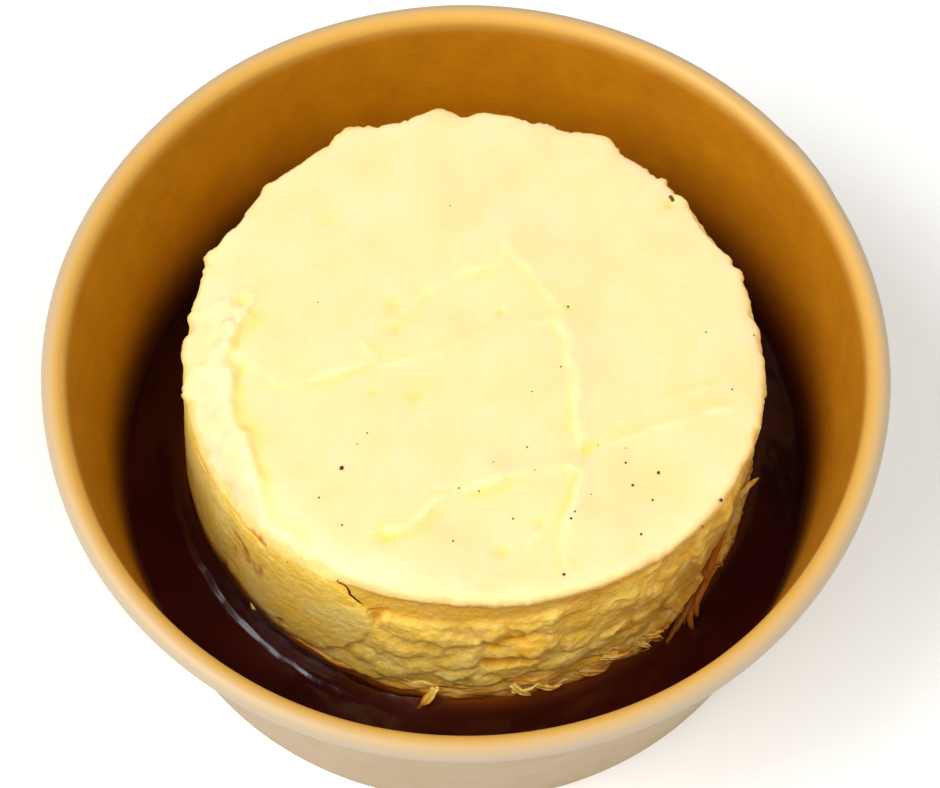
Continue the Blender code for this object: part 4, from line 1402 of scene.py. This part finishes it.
def lay_fine_shreds(mesh, template, count):
    """Lays short fibres on the side at random, more of them at the right of the front."""
    draw = random.Random(FINE_SHREDS_SEED)
    for number in range(count):
        start = draw.uniform(-88, 190)
        if draw.random() < 0.6:
            start = draw.uniform(-84, -2)
        length = draw.uniform(2.2, 5.0) / ARC_OF_DEGREE * draw.choice((-1, 1))
        top = join_height(math.radians(start)) / MM
        low = draw.uniform(GRAVY_LEVEL / MM + 1.5, top - 0.2)
        rise = draw.uniform(-2.4, 2.4)
        bow = draw.uniform(0.0, 0.2)
        width = draw.uniform(0.4, 1.0)

        def lying(share, start=start, length=length, low=low, rise=rise, bow=bow, seed=number):
            wander = noise.noise(Vector((share * 2.2, seed * 1.7, 0))) * 0.35
            out = math.sin(math.pi * share) * bow + 0.05
            return side_pose(start + length * share, low + rise * share + wander, out)

        if top > GRAVY_LEVEL / MM + 3:
            wet = draw.uniform(0, 0.4)
            seed = number + FINE_FRAY_SEED
            lay_shred(mesh, template, lying, width * MM, width * 0.35 * MM, seed, wet)


def chicken_core(mesh):
    """Draws the layer's side up from the floor, and closes it below and above."""
    soak = mesh.verts.layers.float["soak"]
    turn, ring = start_ring(mesh, CHICKEN_COLUMNS)
    edges = first_edges = mesh.edges[:]
    low_rows = (FLOOR_HEIGHT + CLEARANCE, *CHICKEN_LOW_ROWS)
    for row in range(len(low_rows) + CHICKEN_ROWS + 1):
        if row:
            ring, edges = drawn_out(mesh, edges)
        for vert in ring:
            angle = vert[turn]
            if row < len(low_rows):
                height = low_rows[row]
            else:
                rise = (row - len(low_rows)) / CHICKEN_ROWS
                top = join_height(angle) + CHICKEN_OVERLAP
                height = CHICKEN_START + (top - CHICKEN_START) * rise
            vert.co = chicken_point(angle, height)
            vert[soak] = soaked_share(angle, vert.co.z)
    drawn_shut(mesh, edges)
    drawn_shut(mesh, [edge for edge in first_edges if edge.is_valid])


def make_chicken(look):
    """The layer of pulled chicken: a ridged core with loose and fine shreds on its side."""
    mesh = bmesh.new()
    mesh.verts.layers.int.new("row")
    mesh.verts.layers.int.new("corner")
    mesh.verts.layers.float.new("turn")
    mesh.verts.layers.float.new("soak")
    chicken_core(mesh)
    template = shred_template()
    shreds = bmesh.new()
    shreds.verts.layers.float.new("soak")
    shreds.verts.layers.int.new("row")
    shreds.verts.layers.int.new("corner")
    lay_loose_shreds(shreds, template)
    lay_fine_shreds(shreds, template, look.fine_shreds)
    shreds.to_mesh(template)
    shreds.free()
    mesh.from_mesh(template)
    bpy.data.meshes.remove(template)
    chicken = finished("chicken_layer", mesh, chicken_material(look))
    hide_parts("chicken")


def gravy_start(angle, height):
    """Where the gravy starts, out of sight behind the food's side."""
    return from_middle(angle, height, plain_radius(angle, height) - GRAVY_TUCK)


def gravy_end(angle, height):
    """Where the gravy ends, just inside the paper."""
    radius = paper_inner_radius(height) + 0.12 * MM
    return Vector((radius * math.cos(angle), radius * math.sin(angle), height))


def gravy_top(angle, share, look):
    """A point of the surface between food and paper, and how shallow the gravy is there."""
    start, end = gravy_start(angle, GRAVY_LEVEL), gravy_end(angle, GRAVY_LEVEL)
    point = start + (end - start) * share
    from_food = (point - start).length - GRAVY_TUCK
    from_paper = (end - point).length
    spot = Vector((point.x, point.y, 0))
    left = facing(math.degrees(angle), SKIN_ANGLE, SKIN_SPREAD)
    climb = 1.3 * MM * (1 - left) ** 2.5 * math.exp(-max(from_food, 0) / (1.2 * MM))
    climb += 0.3 * MM * math.exp(-from_paper / (1.0 * MM))
    edge = from_food + noise.noise(spot / (5 * MM)) * 0.5 * MM
    climb += left * look.skin * (1 - ramp(edge, 1.9 * MM, 3.5 * MM))
    wave = noise.noise(spot / (9 * MM)) * look.ripple
    wave += noise.noise(spot / (2.6 * MM)) * look.ripple * 0.3
    point.z = GRAVY_LEVEL - 0.35 * MM + climb + wave
    return point, 0.9 * (1 - left) ** 1.5 * math.exp(-max(from_food, 0) / (1.1 * MM))


def make_gravy(look):
    """The pool between food and paper, drawn up in a meniscus where it wets them."""
    mesh = bmesh.new()
    mesh.verts.layers.float.new("turn")
    shallow = mesh.verts.layers.float.new("shallow")
    turn, ring = start_ring(mesh, GRAVY_COLUMNS)
    edges = mesh.edges[:]
    bottom = FLOOR_HEIGHT + CLEARANCE
    for vert in ring:
        vert.co = gravy_start(vert[turn], bottom)
    for row in range(GRAVY_ROWS + 1):
        share = (1 - math.cos(math.pi * row / GRAVY_ROWS)) / 2
        ring, edges = drawn_out(mesh, edges)
        for vert in ring:
            vert.co, vert[shallow] = gravy_top(vert[turn], share, look)
    for place in (gravy_end, gravy_start):
        ring, edges = drawn_out(mesh, edges)
        for vert in ring:
            vert.co = place(vert[turn], bottom)
    bmesh.ops.remove_doubles(mesh, verts=mesh.verts, dist=1e-6)
    gravy = finished("gravy_pool", mesh, gravy_material(look))
    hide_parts("gravy")


def lump_template(detail):
    """A rough ball made once and copied."""
    mesh = bmesh.new()
    bmesh.ops.create_icosphere(mesh, subdivisions=detail, radius=1)
    return stored("lump_template", mesh)


def lay_lump(mesh, template, place, size, seed, squash=0.7):
    """Copies the ball to a place with its own uneven shape."""
    before = len(mesh.verts)
    mesh.from_mesh(template)
    mesh.verts.ensure_lookup_table()
    for vert in mesh.verts[before:]:
        away = vert.co.copy()
        rough = 1 + 0.45 * noise.noise(away * 1.4 + Vector((seed * 2.3, seed, 0)))
        rough += 0.2 * noise.noise(away * 3.1 + Vector((0, seed * 1.9, seed)))
        away.z *= squash
        vert.co = place + away * size * rough


def make_specks(look):
    """Ground pepper on the top, and one fleck of thyme at the back edge."""
    pepper = bmesh.new()
    template = lump_template(1)
    for number, (x, y, tenths) in enumerate(PEPPER):
        height, _, _ = top_detail(x, y)
        size = tenths * 0.1 * MM * 0.5
        place = Vector((x * MM, y * MM, FOOD_HEIGHT + height * MM + size * 0.1))
        to_edge = FOOD_TOP_RADIUS - (place - food_centre(FOOD_HEIGHT)).xy.length
        place.z -= 0.9 * MM * bump(to_edge, 0, 1.6 * MM)
        lay_lump(pepper, template, place, size, number)
    bpy.data.meshes.remove(template)
    husk = speck_material("ground_pepper", look.pepper_colour, 0.7)
    specks = finished("pepper_specks", pepper, husk, SPECK_EDGE)
    fleck = bmesh.new()
    template = lump_template(2)
    x, y = THYME
    height, _, _ = top_detail(x, y)
    for number, off in enumerate(THYME_LUMPS):
        place = (Vector((x, y, FOOD_HEIGHT / MM + height)) + Vector(off)) * MM
        lay_lump(fleck, template, place, THYME_SIZE, number + THYME_SEED, 0.5)
    bpy.data.meshes.remove(template)
    leaf = speck_material("dried_thyme", look.thyme_colour, 0.8)
    thyme = finished("thyme_fleck", fleck, leaf, SPECK_EDGE)


def light(name, place, size, power, colour, mirrored):
    """A square area light that faces the food, and may be left out of glosses."""
    data = bpy.data.lights.new(name, "AREA")
    data.shape = "SQUARE"
    data.size = size
    data.energy = power
    data.color = colour
    lamp = bpy.data.objects.new(name, data)
    lamp.location = place
    lamp.visible_glossy = mirrored
    lamp.rotation_euler = (place - LIGHT_TARGET).to_track_quat("Z", "Y").to_euler()
    bpy.context.scene.collection.objects.link(lamp)


def surroundings(look):
    """White surroundings that light from all round and show only faintly in a gloss."""
    world = bpy.data.worlds.new("studio")
    bpy.context.scene.world = world
    world.use_nodes = True
    tree = world.node_tree
    background = tree.nodes["Background"]
    background.inputs["Color"].default_value = (1, 1, 1, 1)
    seen = add(tree, "ShaderNodeLightPath")
    level = add(tree, "ShaderNodeMapRange", {
        0: seen.outputs["Is Glossy Ray"], 1: 0.0, 2: 1.0,
        3: look.fill_strength, 4: look.fill_strength * FILL_IN_GLOSS,
    })
    tree.links.new(level.outputs[0], background.inputs["Strength"])


def make_camera():
    """The camera: in front of the bowl, looking down on it."""
    back = Vector((0, -math.cos(CAMERA_ELEVATION), math.sin(CAMERA_ELEVATION)))
    side = Vector((1, 0, 0))
    up = back.cross(side)
    right = side * math.cos(CAMERA_ROLL) + up * math.sin(CAMERA_ROLL)
    over = up * math.cos(CAMERA_ROLL) - side * math.sin(CAMERA_ROLL)
    data = bpy.data.cameras.new("camera")
    data.sensor_width = CAMERA_SENSOR
    data.lens = CAMERA_LENS
    data.clip_start = CAMERA_NEAR
    camera = bpy.data.objects.new("camera", data)
    turn = Matrix((right, over, back)).transposed()
    place = CAMERA_TARGET + back * CAMERA_DISTANCE
    camera.matrix_world = Matrix.Translation(place) @ turn.to_4x4()
    bpy.context.scene.collection.objects.link(camera)
    bpy.context.scene.camera = camera


def make_stage(look):
    """The floor, the soft lights, the surroundings and the camera."""
    mesh = bmesh.new()
    bmesh.ops.create_grid(mesh, x_segments=1, y_segments=1, size=STAGE_FLOOR)
    floor = bpy.data.objects.new("floor", stored("floor", mesh))
    bpy.context.scene.collection.objects.link(floor)
    floor.data.materials.append(floor_material(look))
    for name, place, size, share, colour, mirrored in LIGHTS:
        light(name, Vector(place), size, look.key_power * share, colour, mirrored)
    surroundings(look)
    make_camera()
    bpy.context.scene.view_settings.view_transform = "Standard"


# Operators


class PARMENTIER_OT_bowl(bpy.types.Operator):
    """Makes the kraft paper bowl: its wall with the rolled rim, and its floor"""

    bl_idname = "parmentier.bowl"
    bl_label = "Kraft Bowl"

    def execute(self, context):
        make_wall(context.scene.parmentier_bowl)
        make_floor(context.scene.parmentier_bowl)
        return {"FINISHED"}


class PARMENTIER_OT_gravy(bpy.types.Operator):
    """Makes the pool of gravy"""

    bl_idname = "parmentier.gravy"
    bl_label = "Gravy"

    def execute(self, context):
        make_gravy(context.scene.parmentier_gravy)
        return {"FINISHED"}


class PARMENTIER_OT_chicken(bpy.types.Operator):
    """Makes the layer of pulled chicken"""

    bl_idname = "parmentier.chicken"
    bl_label = "Pulled Chicken"

    def execute(self, context):
        make_chicken(context.scene.parmentier_chicken)
        return {"FINISHED"}


class PARMENTIER_OT_mash(bpy.types.Operator):
    """Makes the mashed potato and the specks on it"""

    bl_idname = "parmentier.mash"
    bl_label = "Mashed Potato"

    def execute(self, context):
        make_mash(context.scene.parmentier_mash)
        make_specks(context.scene.parmentier_mash)
        return {"FINISHED"}


class PARMENTIER_OT_stage(bpy.types.Operator):
    """Makes the floor, the lights, the surroundings and the camera"""

    bl_idname = "parmentier.stage"
    bl_label = "Stage"

    def execute(self, context):
        make_stage(context.scene.parmentier_stage)
        return {"FINISHED"}


class PARMENTIER_PT_panel(bpy.types.Panel):
    """Lists the pieces and their settings"""

    bl_label = "Chicken Parmentier"
    bl_idname = "PARMENTIER_PT_panel"
    bl_space_type = "VIEW_3D"
    bl_region_type = "UI"
    bl_category = "Parmentier"

    def draw(self, context):
        for operator, settings in STEPS:
            box = self.layout.box()
            box.operator(operator.bl_idname)
            group = getattr(context.scene, settings)
            for name in group.__annotations__:
                box.prop(group, name)


STEPS = (
    (PARMENTIER_OT_bowl, "parmentier_bowl"),
    (PARMENTIER_OT_gravy, "parmentier_gravy"),
    (PARMENTIER_OT_chicken, "parmentier_chicken"),
    (PARMENTIER_OT_mash, "parmentier_mash"),
    (PARMENTIER_OT_stage, "parmentier_stage"),
)
LOOKS = (BowlLook, GravyLook, ChickenLook, MashLook, StageLook)


def register():
    """Registers the settings, the operators and the panel."""
    for look in LOOKS:
        bpy.utils.register_class(look)
    for (operator, settings), look in zip(STEPS, LOOKS):
        bpy.utils.register_class(operator)
        setattr(bpy.types.Scene, settings, PointerProperty(type=look))
    bpy.utils.register_class(PARMENTIER_PT_panel)


def unregister():
    """Takes them away again, last first."""
    bpy.utils.unregister_class(PARMENTIER_PT_panel)
    for operator, settings in reversed(STEPS):
        delattr(bpy.types.Scene, settings)
        bpy.utils.unregister_class(operator)
    for look in reversed(LOOKS):
        bpy.utils.unregister_class(look)


def main():
    """Makes the bowl and its food on the stage."""
    register()
    bpy.ops.parmentier.bowl()
    bpy.ops.parmentier.gravy()
    bpy.ops.parmentier.chicken()
    bpy.ops.parmentier.mash()
    bpy.ops.parmentier.stage()


if __name__ == "__main__":
    main()
